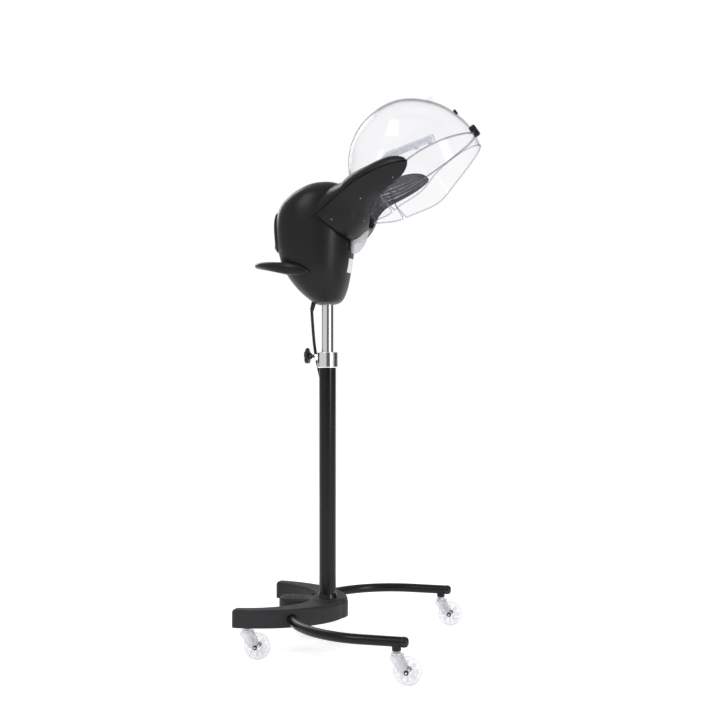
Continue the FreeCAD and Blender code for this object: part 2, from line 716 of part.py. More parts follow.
def panel_block(grow):
    """The rear control panel's outline as a block."""
    block = box(PANEL_X, PANEL_X + PANEL_T + 6.0, -PANEL_HALF_W - grow, PANEL_HALF_W + grow,
                PANEL_Z0 - grow, PANEL_Z1 + grow)
    corners = [e for e in block.Edges if e.BoundBox.XLength > PANEL_T]
    return block.makeFillet(12.0, corners)


def control_panel():
    panel = panel_block(0.0).cut(head_solid(SHELL_WALL))
    hollow = box(PANEL_X + 2.5, PANEL_X + 60.0, -PANEL_HALF_W + 6.0, PANEL_HALF_W - 6.0,
                 PANEL_Z0 + 6.0, PANEL_Z1 - 6.0)
    panel = panel.cut(hollow)
    for z in BUTTON_ZS:
        panel = panel.cut(rod(BUTTON_D / 2 + BUTTON_GAP, 8.0, (PANEL_X - 4.0, 0, z), (1, 0, 0)))
    return biggest(panel)


def button(z):
    cap = rod(BUTTON_D / 2, BUTTON_PROUD + 5.0, (PANEL_X - BUTTON_PROUD, 0, z), (1, 0, 0))
    front = [e for e in cap.Edges if abs(e.BoundBox.XMax - PANEL_X + BUTTON_PROUD) < 0.1
             and e.BoundBox.XLength < 0.1]
    return cap.makeFillet(1.0, front)


def handle():
    """Loop handle around the back of the head, thin at its rear and thick where it grows out."""
    z0, z1 = 870.0, 930.0
    outer = ellipse_column(HANDLE_A, HANDLE_B, z0, z1, HANDLE_X)
    inner = ellipse_column(HANDLE_A - HANDLE_BAND, HANDLE_B - HANDLE_BAND, z0, z1, HANDLE_X)
    ring = outer.cut(inner).cut(box(HANDLE_X, FAR, -FAR, FAR, z0, z1))
    tips = [rod(HANDLE_BAND / 2, z1 - z0, (HANDLE_X, s * (HANDLE_B - HANDLE_BAND / 2), z0)) for s in (LEFT, RIGHT)]
    ring = ring.fuse(tips)
    tip_x = HANDLE_X - HANDLE_A
    profile = [(tip_x - 5.0, 904.0), (-98.0, 887.0), (-60.0, 884.0), (10.0, 890.0)]
    wedge = side_prism(profile, [(10.0, 904.0), (-60.0, 911.0), (-98.0, 915.0), (tip_x - 5.0, 916.0)])
    return one(biggest(ring.common(wedge).cut(head_solid(0.0))))


def head_socket():
    """Cast socket that clamps the head on the lift tube and carries the boiler."""
    sleeve = tube(LIFT_D / 2 + 8.0, LIFT_D / 2, 70.0, (0, 0, HEAD_BOTTOM_Z + 12.0))
    deck = rod(44.0, 6.0, (0, 0, HEAD_BOTTOM_Z + 82.0)).cut(rod(LIFT_D / 2, FAR, (0, 0, 800.0)))
    inside = head_solid(SHELL_WALL)
    return sleeve.fuse(deck).common(inside)


def boiler():
    z = LIFT_TOP_Z
    body = rod(38.0, BOILER_TOP_Z - z, (-2.0, 0, z))
    body = body.makeFillet(8.0, [e for e in body.Edges if e.BoundBox.ZLength < 0.1])
    hollow = rod(35.5, BOILER_TOP_Z - z - 6.0, (-2.0, 0, z + 3.0))
    bore = PIPE_D / 2 - 2.0
    outlet = tube(PIPE_D / 2, bore, LIFT_TOP_Z + 70.0 - BOILER_TOP_Z, (PIPE_X, 0, BOILER_TOP_Z))
    return body.cut(hollow).cut(rod(bore, 20.0, (PIPE_X, 0, BOILER_TOP_Z - 10.0))).fuse(outlet)


def heater_element():
    z = LIFT_TOP_Z + 16.0
    ring = Part.makeTorus(24.0, 4.0, Vector(-2.0, 0, z))
    legs = [rod(4.0, 13.0, (-2.0 - 23.0, y, z - 13.0)) for y in (-7.0, 7.0)]
    return one(ring.fuse(legs))


def water_tank():
    """Upper water reservoir, filled through the cap in the dome."""
    outer = head_solid(SHELL_WALL + 5.0).common(box(-FAR, 30.0, -FAR, FAR, 985.0, 1084.0))
    outer = outer.cut(box(12.0, FAR, -16.0, 16.0, 900.0, 1200.0))
    inner = head_solid(SHELL_WALL + 7.5).common(box(-FAR, 27.5, -FAR, FAR, 987.5, 1081.5))
    inner = inner.cut(box(9.5, FAR, -18.5, 18.5, 900.0, 1200.0))
    neck = tube(CAP_D / 2 - 6.0, CAP_D / 2 - 8.5, 8.0, (CAP_X, 0, 1081.0))
    hole = rod(CAP_D / 2 - 8.5, 20.0, (CAP_X, 0, 1075.0))
    feet = [rod(4.0, 985.0 - BOILER_TOP_Z, (x, y, BOILER_TOP_Z)) for x, y in ((-24.0, 16.0), (-24.0, -16.0))]
    return one(biggest(outer.cut(inner).cut(hole).fuse([neck] + feet)))


def fill_cap():
    """Flush cap in the dome's top, with a spigot into the reservoir's neck."""
    lid = head_solid(0.0).common(rod(CAP_D / 2 - 0.35, FAR, (CAP_X, 0, 1092.0)))
    spigot = rod(CAP_D / 2 - 9.0, 8.0, (CAP_X, 0, 1084.5))
    return one(biggest(lid.fuse(spigot)))


def bent_bar(points, radius, bend):
    """A round bar along straight runs joined by arcs of one radius."""
    return swept(arc_path(points, [bend] * (len(points) - 2)), radius)


def arc_path(points, radii):
    edges = []
    start = points[0]
    for before, at, after, radius in zip(points, points[1:], points[2:], radii):
        a, b = (before - at).normalize(), (after - at).normalize()
        half = a.getAngle(b) / 2
        back = radius / math.tan(half)
        middle = (a + b).normalize() * (radius / math.sin(half) - radius)
        edges.append(Part.LineSegment(start, at + a * back).toShape())
        edges.append(Part.Arc(at + a * back, at + middle, at + b * back).toShape())
        start = at + b * back
    edges.append(Part.LineSegment(start, points[-1]).toShape())
    return Part.Wire(edges)


def steam_pipe():
    """Hose from the boiler to the diffuser in the hood."""
    z = LIFT_TOP_Z + 70.0
    route = [Vector(PIPE_X, 0, z), Vector(PIPE_X, 0, 1080.0), Vector(86.0, 0, 1098.0),
             Vector(*DIFFUSER_START)]
    outer = bent_bar(route, PIPE_D / 2, 20.0)
    return outer.cut(bent_bar(route, PIPE_D / 2 - 2.0, 20.0))


def pipe_clearance():
    """The pipe's room through the head's front, the cradle and the hood's back."""
    z = LIFT_TOP_Z + 70.0
    route = [Vector(PIPE_X, 0, z), Vector(PIPE_X, 0, 1080.0), Vector(86.0, 0, 1098.0),
             Vector(*DIFFUSER_START)]
    return bent_bar(route, PIPE_D / 2, 20.0)


def steam_diffuser():
    """Slotted bar inside the hood's roof that spreads the steam."""
    bar = box(0.0, DIFFUSER_L, -12.0, 12.0, -7.0, 7.0)
    bar = bar.makeFillet(5.0, [e for e in bar.Edges if e.BoundBox.XLength > DIFFUSER_L - 1.0])
    bore = rod(5.0, DIFFUSER_L - 6.0, (0, 0, 0), (1, 0, 0))
    bar = bar.cut(bore)
    for x in (DIFFUSER_L - 47.0, DIFFUSER_L - 12.0):
        bar = bar.fuse(tube(6.0, 3.0, 5.0, (x, 0, -11.0))).cut(rod(3.0, 12.0, (x, 0, -12.0)))
    bar.rotate(Vector(0, 0, 0), Vector(0, 1, 0), -DIFFUSER_RISE)
    bar.translate(Vector(*DIFFUSER_START))
    return bar


def drip_cup():
    """Translucent condensate cup that slides forward out of the head's front."""
    def wedge(inset):
        profile = [(CUP_X0 + inset, CUP_Z0 + inset), (CUP_X1 - 22.0 - inset, CUP_Z0 + inset),
                   (CUP_X1 - inset, CUP_Z1 - 12.0), (CUP_X1 - inset, CUP_Z1 + 2 * inset),
                   (CUP_X0 + inset, CUP_Z1 + 2 * inset)]
        points = [Vector(x, -CUP_HALF_W + inset, z) for x, z in profile]
        edges = [Part.LineSegment(a, b).toShape() for a, b in zip(points, points[1:] + points[:1])]
        return prism(edges, Vector(0, 2 * (CUP_HALF_W - inset), 0))
    cup = wedge(0.0).common(box(0, FAR, -FAR, FAR, 0, CUP_Z1)).cut(wedge(CUP_WALL))
    keep_out = head_solid(-0.4)
    return one(biggest(cup.cut(keep_out)))


def label_plate():
    plate = box(30.0, 80.0, -18.0, 18.0, 889.0, 922.0)
    return plate.common(head_solid(-0.8)).cut(head_solid(0.0))


def circuit_board():
    board = box(-104.0, -102.4, -32.0, 32.0, 940.0, 982.0)
    reach = -104.0 - (PANEL_X + 2.5)
    posts = [rod(2.0, reach, (-104.0 - reach, y, z), (1, 0, 0)) for y in (-28.0, 28.0) for z in (947.0, 975.0)]
    return board.fuse(posts)


def strain_relief():
    start, end = Vector(-33.5, 0, 822.0), Vector(*CORD_HANG[0])
    along = end - start
    length = along.Length
    cone = Part.makeCone(6.0, 4.6, length, start, along)
    return cone


def screw_places():
    return [(x, z, side) for x, z in SCREWS for side in (LEFT, RIGHT)]


def hull_y(x, z):
    """Half width of the collar's outside at x and z."""
    for (z0, f0, h0), (z1, f1, h1) in zip(HULL_SECTIONS, HULL_SECTIONS[1:]):
        if z0 <= z <= z1:
            t = (z - z0) / (z1 - z0)
            front, half = f0 + (f1 - f0) * t, h0 + (h1 - h0) * t
    share = max(x - HULL_WIDEST_X, 0.0) / (front - HULL_WIDEST_X)
    return half * (1.0 - share ** HULL_POWER) ** (1.0 / HULL_POWER)


def panel_screws():
    screws = []
    for x, z, side in screw_places():
        face = hull_y(x, z)
        under = face - SCREW_SUNK - SCREW_HEAD_T
        head = rod(SCREW_HEAD_R, SCREW_HEAD_T, (x, side * (face - SCREW_SUNK), z), (0, -side, 0))
        shank = rod(SCREW_R, SCREW_SHANK, (x, side * under, z), (0, -side, 0))
        screws.append(head.fuse(shank))
    return screws


# ---------------------------------------------------------------- cord

def cord_radii(points):
    """0.45 of the shorter run beside each point, over the tangent of half the turn there."""
    radii = []
    for before, at, after in zip(points, points[1:], points[2:]):
        turn = (at - before).getAngle(after - at)
        shorter = min((at - before).Length, (after - at).Length)
        radii.append(0.45 * shorter / math.tan(turn / 2))
    return radii


def cord_tube(name, route):
    points = [Vector(*p) for p in route]
    radii = cord_radii(points)
    path = arc_path(points, radii)
    solid = swept(path, CORD_D / 2)
    expected = math.pi * CORD_D ** 2 / 4 * path.Length
    print(name, "radii", [round(r) for r in radii], "length", round(path.Length),
          "volume ratio", round(solid.Volume / expected, 4))
    return solid


def cord_coil():
    """Four turns, two wide and two high, as one ring."""
    return tube(COIL_R + CORD_D, COIL_R - CORD_D, 2 * CORD_D, (COIL_X, COIL_Y, 0))


def plug():
    x = COIL_X - COIL_R - CORD_D / 2
    y1 = COIL_Y - 20.0
    body = box(x - PLUG_W / 2, x + PLUG_W / 2, y1 - PLUG_L, y1, 0, PLUG_H)
    body = body.makeFillet(4.0, [e for e in body.Edges if e.BoundBox.YLength > PLUG_L - 1])
    pins = [rod(2.4, PIN_L, (x + dx, y1 - PLUG_L, PLUG_H / 2), (0, -1, 0)) for dx in (-9.5, 9.5)]
    relief = Part.makeCone(6.0, 4.2, 16.0, Vector(x, y1, PLUG_H / 2), Vector(0, 1, 0))
    return body.fuse(pins + [relief])


def stand():
    save("leg_tube", leg_tube())
    save("leg_caps", leg_caps())
    save("leg_bosses", leg_bosses())
    save("base_cover", base_cover())
    save("base_plate", base_plate())
    save("column_foot", column_foot())
    save("column_bolts", column_bolts())
    save("column_tube", column_tube())
    save("column_ring", column_ring())
    save("guide_bush", guide_bush())
    save("clamp_collar", clamp_collar())
    save("lock_knob", lock_knob())
    save("caster_stems", caster_stems())
    for name, x, y in caster_places():
        save(name + "_fork", fork(x, y))
        save(name + "_axle", axle(x, y))
        save(name + "_wheel", wheel(x, y))


def head():
    save("lift_tube", tube(LIFT_D / 2, LIFT_D / 2 - LIFT_WALL, LIFT_TOP_Z - LIFT_BOTTOM_Z,
                           (0, 0, LIFT_BOTTOM_Z)))
    save("head_socket", head_socket())
    halves = pod_shells()
    save("pod_shell_left", halves["left"])
    save("pod_shell_right", halves["right"])
    save("rear_dome", rear_dome())
    top, left, right, cradle = collar_pieces()
    screws = panel_screws()
    save("collar_top_cover", top)
    save("side_panel_left", biggest(left.cut(screws)))
    save("side_panel_right", biggest(right.cut(screws)))
    save("hood_cradle", cradle.cut(screws + [pipe_clearance()]))
    save("panel_screws", group(screws))
    save("control_panel", control_panel())
    for name, z in zip(("minus", "plus", "power"), BUTTON_ZS):
        save("button_" + name, button(z))
    save("handle", handle())
    save("boiler", boiler())
    save("heater_element", heater_element())
    save("water_tank", water_tank())
    save("fill_cap", fill_cap())
    save("steam_diffuser", steam_diffuser())
    dome, visor = hood_pieces()
    vent = on_hood(vent_knob(), 268.0, 156.0, 40.0)
    save("steam_pipe", biggest(steam_pipe().cut(steam_diffuser())))
    save("hinge_block", biggest(hinge_block().cut(dome)))
    save("hinge_pin", hinge_pin())
    save("visor_tab", biggest(on_hood(visor_tab(), VISOR_PIVOT_U, VISOR_PIVOT_N).cut(visor)))
    save("hood_dome", biggest(dome.cut([pipe_clearance(), vent])))
    save("visor", visor)
    save("vent_knob", vent)
    save("drip_cup", drip_cup())
    save("label_plate", label_plate())
    save("circuit_board", circuit_board())
    save("strain_relief", strain_relief())


def cord():
    save("cord_hang", cord_tube("cord_hang", CORD_HANG))
    coil = cord_coil()
    save("cord_floor", cord_tube("cord_floor", CORD_FLOOR).cut(coil))
    save("cord_coil", coil)
    save("plug", plug().cut(coil))


stand()
head()
cord()
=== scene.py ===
"""Looks of the salon hair steamer: meshes, materials, light and camera, in the CAD frame, in metres."""

import json
import math

import bmesh
import bpy
import numpy as np
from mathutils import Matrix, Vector


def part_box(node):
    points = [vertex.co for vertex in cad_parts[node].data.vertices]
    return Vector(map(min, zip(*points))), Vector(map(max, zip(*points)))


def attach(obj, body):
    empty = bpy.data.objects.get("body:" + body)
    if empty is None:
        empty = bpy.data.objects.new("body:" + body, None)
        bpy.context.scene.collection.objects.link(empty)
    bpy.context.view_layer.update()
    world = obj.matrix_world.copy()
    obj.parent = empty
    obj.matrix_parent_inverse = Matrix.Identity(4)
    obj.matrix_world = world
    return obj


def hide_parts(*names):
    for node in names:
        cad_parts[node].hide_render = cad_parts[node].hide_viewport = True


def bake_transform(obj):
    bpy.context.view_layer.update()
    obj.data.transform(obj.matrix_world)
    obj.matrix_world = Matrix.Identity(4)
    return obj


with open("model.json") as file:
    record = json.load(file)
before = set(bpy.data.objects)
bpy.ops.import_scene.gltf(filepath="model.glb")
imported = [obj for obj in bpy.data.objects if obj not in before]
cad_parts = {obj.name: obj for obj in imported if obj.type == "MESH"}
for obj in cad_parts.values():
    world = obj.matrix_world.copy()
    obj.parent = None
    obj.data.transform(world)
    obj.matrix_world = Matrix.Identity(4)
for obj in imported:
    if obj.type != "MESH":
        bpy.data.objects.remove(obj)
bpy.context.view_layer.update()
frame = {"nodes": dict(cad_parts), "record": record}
MM = 0.001
TURN = 2.0 * math.pi

# ---------------------------------------------------------------- camera, floor and light

CAMERA_PLACE = (0.7196, -2.529, 0.690)
CAMERA_LOOKS = (-0.2483, 0.9687, 0.0)
CAMERA_LENS = 55.5
SOFT_LIGHT = 0.66
# direction, product with it where a dark card starts and is full, its depth
DARK_CARDS = [((0.85, 0.52, 0.0), 0.80, 0.95, 0.9), ((-0.97, 0.25, 0.0), 0.90, 0.98, 0.35)]


def make_camera():
    """Camera a little above the middle of the machine, level and looking past its column."""
    data = bpy.data.cameras.new("camera")
    data.lens = CAMERA_LENS
    data.sensor_width = 36.0
    camera = bpy.data.objects.new("camera", data)
    camera.location = CAMERA_PLACE
    camera.rotation_mode = "QUATERNION"
    camera.rotation_quaternion = Vector(CAMERA_LOOKS).to_track_quat("-Z", "Y")
    bpy.context.collection.objects.link(camera)
    bpy.context.scene.camera = camera


def area_light(name, place, target, size, power):
    """Rectangular lamp of that size, turned towards its target."""
    data = bpy.data.lights.new(name, "AREA")
    data.shape = "RECTANGLE"
    data.size, data.size_y = size
    data.energy = power
    light = bpy.data.objects.new(name, data)
    light.location = place
    light.rotation_mode = "QUATERNION"
    light.rotation_quaternion = (Vector(target) - Vector(place)).to_track_quat("-Z", "Y")
    bpy.context.collection.objects.link(light)


def dark_card(tree, aim, low, high, depth):
    """Brightness round the studio, dimmed by depth where a direction's product with aim nears high."""
    around = node(tree, "ShaderNodeTexCoord")
    toward = node(tree, "ShaderNodeVectorMath", operation="DOT_PRODUCT")
    toward.inputs[1].default_value = Vector(aim).normalized()
    tree.links.new(around.outputs["Generated"], toward.inputs[0])
    return mapped(tree, toward.outputs["Value"], low, high, 1.0, 1.0 - depth)


def make_stage():
    """White floor, a world seen as plain white but lighting softly, and three lamps."""
    floor = mesh_object("stage_floor", [(-14, -9, 0), (14, -9, 0), (14, 16, 0), (-14, 16, 0)], [(0, 1, 2, 3)])
    white = plain("stage_white", (0.92, 0.92, 0.92), 0.7)
    white.node_tree.nodes["Principled BSDF"].inputs["Emission Color"].default_value = (1.0, 1.0, 1.0, 1.0)
    white.node_tree.nodes["Principled BSDF"].inputs["Emission Strength"].default_value = 0.42
    floor.data.materials.append(white)
    world = bpy.data.worlds.new("world")
    world.use_nodes = True
    backdrop = world.node_tree.nodes["Background"]
    backdrop.inputs["Color"].default_value = (1.0, 1.0, 1.0, 1.0)
    tree = world.node_tree
    light = dark_card(tree, (0.36, -0.93, 0.05), 0.90, 0.985, 0.85)
    for aim, low, high, depth in DARK_CARDS:
        product = node(tree, "ShaderNodeMath", operation="MULTIPLY")
        tree.links.new(light, product.inputs[0])
        tree.links.new(dark_card(tree, aim, low, high, depth), product.inputs[1])
        light = product.outputs[0]
    seen = node(tree, "ShaderNodeMath", operation="MAXIMUM")
    soft = mapped(tree, light, 0.0, 1.0, 0.0, SOFT_LIGHT)
    tree.links.new(node(tree, "ShaderNodeLightPath").outputs["Is Camera Ray"], seen.inputs[0])
    tree.links.new(soft, seen.inputs[1])
    tree.links.new(seen.outputs[0], backdrop.inputs["Strength"])
    bpy.context.scene.world = world
    bpy.context.scene.view_settings.view_transform = "Standard"
    area_light("key", (-1.2, -2.6, 2.9), (0.0, 0.0, 0.9), (0.9, 1.6), 26.0)
    area_light("fill", (2.6, -1.6, 1.5), (0.1, 0.0, 0.8), (0.7, 2.2), 30.0)
    area_light("rim", (-1.8, 1.8, 2.2), (0.0, 0.0, 1.0), (0.8, 1.8), 16.0)


# ---------------------------------------------------------------- curves and meshes

def mesh_object(name, points, faces):
    """A smooth-shaded mesh object, linked to the scene."""
    mesh = bpy.data.meshes.new(name)
    mesh.from_pydata([tuple(p) for p in points], [], [tuple(f) for f in faces])
    mesh.update()
    mesh.shade_smooth()
    piece = bpy.data.objects.new(name, mesh)
    bpy.context.collection.objects.link(piece)
    return piece


def read(table, at):
    """Values along a table of (x, value...) rows: cubic runs whose slopes are the mean of their chords."""
    table = np.array(table, float)
    x, v = table[:, 0], table[:, 1:]
    chord = np.diff(v, axis=0) / np.diff(x)[:, None]
    slope = np.vstack([chord[:1], (chord[:-1] + chord[1:]) / 2, chord[-1:]])
    at = np.clip(np.asarray(at, float), x[0], x[-1])
    i = np.clip(np.searchsorted(x, at) - 1, 0, len(x) - 2)
    h = (x[i + 1] - x[i])[..., None]
    t = (at - x[i])[..., None] / h
    out = (v[i] * (1 + 2 * t) * (1 - t) ** 2 + slope[i] * h * t * (1 - t) ** 2
           + v[i + 1] * t ** 2 * (3 - 2 * t) + slope[i + 1] * h * t ** 2 * (t - 1))
    return out[..., 0] if out.shape[-1] == 1 else out


def ease(v, low, high):
    """0 below low, 1 above high, and a smooth s-shaped rise between."""
    t = np.clip((v - low) / (high - low), 0.0, 1.0)
    return t * t * (3 - 2 * t)


def power(v, p):
    """v raised to p, keeping its sign."""
    return np.sign(v) * np.abs(v) ** p


def softest(a, b, width=3.0):
    """The smaller of two values, blended where they are within about width of each other."""
    return -width * np.log(np.exp(-a / width) + np.exp(-b / width))


def quads(rows, cols, wrap, start):
    """Faces of a grid of rows by cols points, closed round in its second direction if wrap."""
    i, j = np.meshgrid(np.arange(rows - 1), np.arange(cols if wrap else cols - 1), indexing="ij")
    k = (j + 1) % cols
    faces = np.stack([i * cols + j, i * cols + k, (i + 1) * cols + k, (i + 1) * cols + j], -1)
    return faces.reshape(-1, 4) + start


def build(name, body, finish, grids, stands_for=(), crease=40.0, closed=True):
    """A piece of grids, each (points in millimetres, wrap), with doubles merged and faces turned outwards."""
    points, faces, start = [], [], 0
    for grid, wrap in grids:
        rows, cols = grid.shape[:2]
        points.append(grid.reshape(-1, 3) * MM)
        faces.append(quads(rows, cols, wrap, start))
        start += rows * cols
    mesh = bpy.data.meshes.new(name)
    mesh.from_pydata(np.vstack(points).tolist(), [], np.vstack(faces).tolist())
    work = bmesh.new()
    work.from_mesh(mesh)
    bmesh.ops.remove_doubles(work, verts=work.verts, dist=2e-5)
    bmesh.ops.dissolve_degenerate(work, edges=work.edges, dist=1e-6)
    if closed:
        loops = [e for e in work.edges if e.is_boundary]
        if loops:
            bmesh.ops.holes_fill(work, edges=loops, sides=0)
    bmesh.ops.recalc_face_normals(work, faces=work.faces)
    work.to_mesh(mesh)
    work.free()
    mesh.shade_smooth()
    mesh.set_sharp_from_angle(angle=math.radians(crease))
    mesh.materials.append(finish)
    piece = bpy.data.objects.new(name, mesh)
    bpy.context.collection.objects.link(piece)
    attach(piece, body)
    if stands_for:
        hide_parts(*stands_for)
    return piece


def thicken(piece, thickness):
    """Give a sheet a wall, grown inwards from its outer face."""
    wall = piece.modifiers.new("wall", "SOLIDIFY")
    wall.thickness = thickness * MM
    wall.offset = -1.0
    wall.use_even_offset = True
    return piece


def turned(profile, centre, axis, count=64):
    """A profile of (distance along axis, radius) rows turned round an axis through centre."""
    profile = np.array(profile, float)
    axis = np.array(axis, float) / np.linalg.norm(axis)
    side = np.cross(axis, (0.0, 0.0, 1.0) if abs(axis[2]) < 0.9 else (1.0, 0.0, 0.0))
    side /= np.linalg.norm(side)
    other = np.cross(axis, side)
    angle = np.arange(count) * TURN / count
    ring = np.cos(angle)[:, None] * side + np.sin(angle)[:, None] * other
    return np.array(centre) + profile[:, 0, None, None] * axis + profile[:, 1, None, None] * ring[None]


def rounded(corners, radius=1.5, steps=4):
    """A profile's corners replaced by small arcs, each a quadratic bend between points radius away."""
    p = np.array(corners, float)
    before, at, after = p[:-2], p[1:-1], p[2:]
    back, forth = before - at, after - at
    reach = np.minimum(radius, 0.45 * np.minimum(np.linalg.norm(back, axis=1), np.linalg.norm(forth, axis=1)))
    a = at + back / np.linalg.norm(back, axis=1)[:, None] * reach[:, None]
    b = at + forth / np.linalg.norm(forth, axis=1)[:, None] * reach[:, None]
    t = np.linspace(0, 1, steps + 1)[None, :, None]
    bend = a[:, None] * (1 - t) ** 2 + at[:, None] * 2 * t * (1 - t) + b[:, None] * t ** 2
    return np.vstack([p[:1], bend.reshape(-1, p.shape[1]), p[-1:]])


def bead(line, radius, closed=False, sides=10, flat=1.0):
    """A round bar along a line of points: rings square to its direction, flattened by flat in height."""
    line = np.array(line, float)
    run = np.roll(line, -1, 0) - np.roll(line, 1, 0) if closed else np.gradient(line, axis=0)
    run /= np.maximum(np.linalg.norm(run, axis=1), 1e-9)[:, None]
    side = np.cross(run, (0.0, 0.31, 0.95))
    side /= np.maximum(np.linalg.norm(side, axis=1), 1e-9)[:, None]
    up = np.cross(side, run)
    angle = np.arange(sides) * TURN / sides
    ring = line[:, None] + radius * (np.cos(angle)[None, :, None] * side[:, None]
                                     + flat * np.sin(angle)[None, :, None] * up[:, None])
    return np.concatenate([ring, ring[:1]]) if closed else ring


# ---------------------------------------------------------------- materials

def shader(name):
    """A new material with its node tree and principled shader."""
    material = bpy.data.materials.new(name)
    material.use_nodes = True
    tree = material.node_tree
    return material, tree, tree.nodes["Principled BSDF"]


def node(tree, kind, **values):
    """A node of that kind, with its named inputs or properties set."""
    made = tree.nodes.new(kind)
    for key, value in values.items():
        label = "IOR" if key == "ior" else key.replace("_", " ").title()
        if label in made.inputs:
            made.inputs[label].default_value = value
        else:
            setattr(made, key, value)
    return made


def plain(name, colour, roughness):
    """An even colour and roughness."""
    material, tree, bsdf = shader(name)
    bsdf.inputs["Base Color"].default_value = (*colour, 1.0)
    bsdf.inputs["Roughness"].default_value = roughness
    return material


def spot(tree, scale, detail=2.0, roughness=0.5):
    """Noise in the object's own coordinates."""
    where = node(tree, "ShaderNodeTexCoord")
    noise = node(tree, "ShaderNodeTexNoise", scale=scale, detail=detail, roughness=roughness)
    tree.links.new(where.outputs["Object"], noise.inputs["Vector"])
    return noise


def mapped(tree, source, low, high, to_low, to_high):
    """A value mapped from one range to another."""
    ramp = node(tree, "ShaderNodeMapRange")
    for key, value in (("From Min", low), ("From Max", high), ("To Min", to_low), ("To Max", to_high)):
        ramp.inputs[key].default_value = value
    tree.links.new(source, ramp.inputs["Value"])
    return ramp.outputs["Result"]


def between(tree, factor, low, high):
    """A colour that runs from low to high with a factor."""
    mix = node(tree, "ShaderNodeMix", data_type="RGBA")
    mix.inputs[6].default_value = (*low, 1.0)
    mix.inputs[7].default_value = (*high, 1.0)
    tree.links.new(factor, mix.inputs[0])
    return mix.outputs[2]


def moulded(name, colour, roughness, grain=900.0, depth=0.05, coat=0.0, specular=0.3, variation=0.14):
    """Moulded plastic or paint: fine grain in its bump, uneven gloss, slight colour drift, faint scuffs."""
    material, tree, bsdf = shader(name)
    broad = spot(tree, 11.0)
    fine = spot(tree, grain, 3.0)
    scuff = spot(tree, 60.0, 5.0, 0.7)
    tree.links.new(between(tree, mapped(tree, broad.outputs["Fac"], 0.3, 0.7, 0.0, 1.0),
                           [c * (1.0 - variation) for c in colour], [c * (1.0 + variation) for c in colour]),
                   bsdf.inputs["Base Color"])
    tree.links.new(mapped(tree, scuff.outputs["Fac"], 0.35, 0.75, roughness * 0.9, roughness * 1.15),
                   bsdf.inputs["Roughness"])
    bump = node(tree, "ShaderNodeBump", strength=depth, distance=0.0004)
    tree.links.new(fine.outputs["Fac"], bump.inputs["Height"])
    tree.links.new(bump.outputs["Normal"], bsdf.inputs["Normal"])
    bsdf.inputs["Specular IOR Level"].default_value = specular
    bsdf.inputs["Coat Weight"].default_value = coat
    bsdf.inputs["Coat Roughness"].default_value = 0.12
    return material


def metal(name, colour, roughness, streak=0.0):
    """Metal with slightly uneven colour and gloss and a faint ripple."""
    material, tree, bsdf = shader(name)
    broad = spot(tree, 30.0)
    tree.links.new(between(tree, broad.outputs["Fac"], [c * 0.94 for c in colour], colour),
                   bsdf.inputs["Base Color"])
    bsdf.inputs["Metallic"].default_value = 1.0
    tree.links.new(mapped(tree, broad.outputs["Fac"], 0.3, 0.7, roughness, roughness * 1.6 + 0.01),
                   bsdf.inputs["Roughness"])
    bump = node(tree, "ShaderNodeBump", strength=0.02 + streak, distance=0.0002)
    tree.links.new(spot(tree, 400.0).outputs["Fac"], bump.inputs["Height"])
    tree.links.new(bump.outputs["Normal"], bsdf.inputs["Normal"])
    return material


def clear(name, face_on, edge_on, haze_amount, roughness=0.04, speckle=0.0):
    """Thin clear plastic: light passes, less of it edge-on, with gloss and a little haze on top."""
    material, tree, bsdf = shader(name)
    haze = spot(tree, 9.0)
    bsdf.inputs["Base Color"].default_value = (0.8, 0.8, 0.83, 1.0)
    bsdf.inputs["IOR"].default_value = 1.49
    tree.links.new(mapped(tree, haze.outputs["Fac"], 0.3, 0.7, roughness, roughness * 2.0),
                   bsdf.inputs["Roughness"])
    facing = node(tree, "ShaderNodeLayerWeight", blend=0.5)
    passing = node(tree, "ShaderNodeBsdfTransparent")
    edge = mapped(tree, facing.outputs["Facing"], 0.72, 1.0, 0.0, 1.0)
    tree.links.new(between(tree, edge, face_on, edge_on), passing.inputs["Color"])
    gloss = node(tree, "ShaderNodeBsdfGlossy", roughness=roughness)
    steep = node(tree, "ShaderNodeMath", operation="POWER")
    steep.inputs[1].default_value = 5.0
    tree.links.new(facing.outputs["Facing"], steep.inputs[0])
    shine = node(tree, "ShaderNodeMixShader")
    tree.links.new(mapped(tree, steep.outputs[0], 0.0, 1.0, 0.014, 0.7), shine.inputs[0])
    tree.links.new(passing.outputs[0], shine.inputs[1])
    tree.links.new(gloss.outputs[0], shine.inputs[2])
    veil = node(tree, "ShaderNodeMixShader")
    amount = mapped(tree, haze.outputs["Fac"], 0.3, 0.7, haze_amount * 0.6, haze_amount * 1.3)
    if speckle:
        fine = spot(tree, 230.0, 4.0, 0.75)
        amount = mapped(tree, fine.outputs["Fac"], 0.5, 0.7, haze_amount * 0.4, haze_amount + speckle)
        bump = node(tree, "ShaderNodeBump", strength=0.3, distance=0.001)
        tree.links.new(fine.outputs["Fac"], bump.inputs["Height"])
        tree.links.new(bump.outputs["Normal"], bsdf.inputs["Normal"])
        tree.links.new(bump.outputs["Normal"], gloss.inputs["Normal"])
    tree.links.new(amount, veil.inputs[0])
    tree.links.new(shine.outputs[0], veil.inputs[1])
    tree.links.new(bsdf.outputs[0], veil.inputs[2])
    tree.links.new(veil.outputs[0], tree.nodes["Material Output"].inputs["Surface"])
    return material


def finish_of(name, material):
    """Give a CAD node its finished material."""
    for slot in frame["nodes"][name].material_slots:
        slot.material = material


# ---------------------------------------------------------------- cord

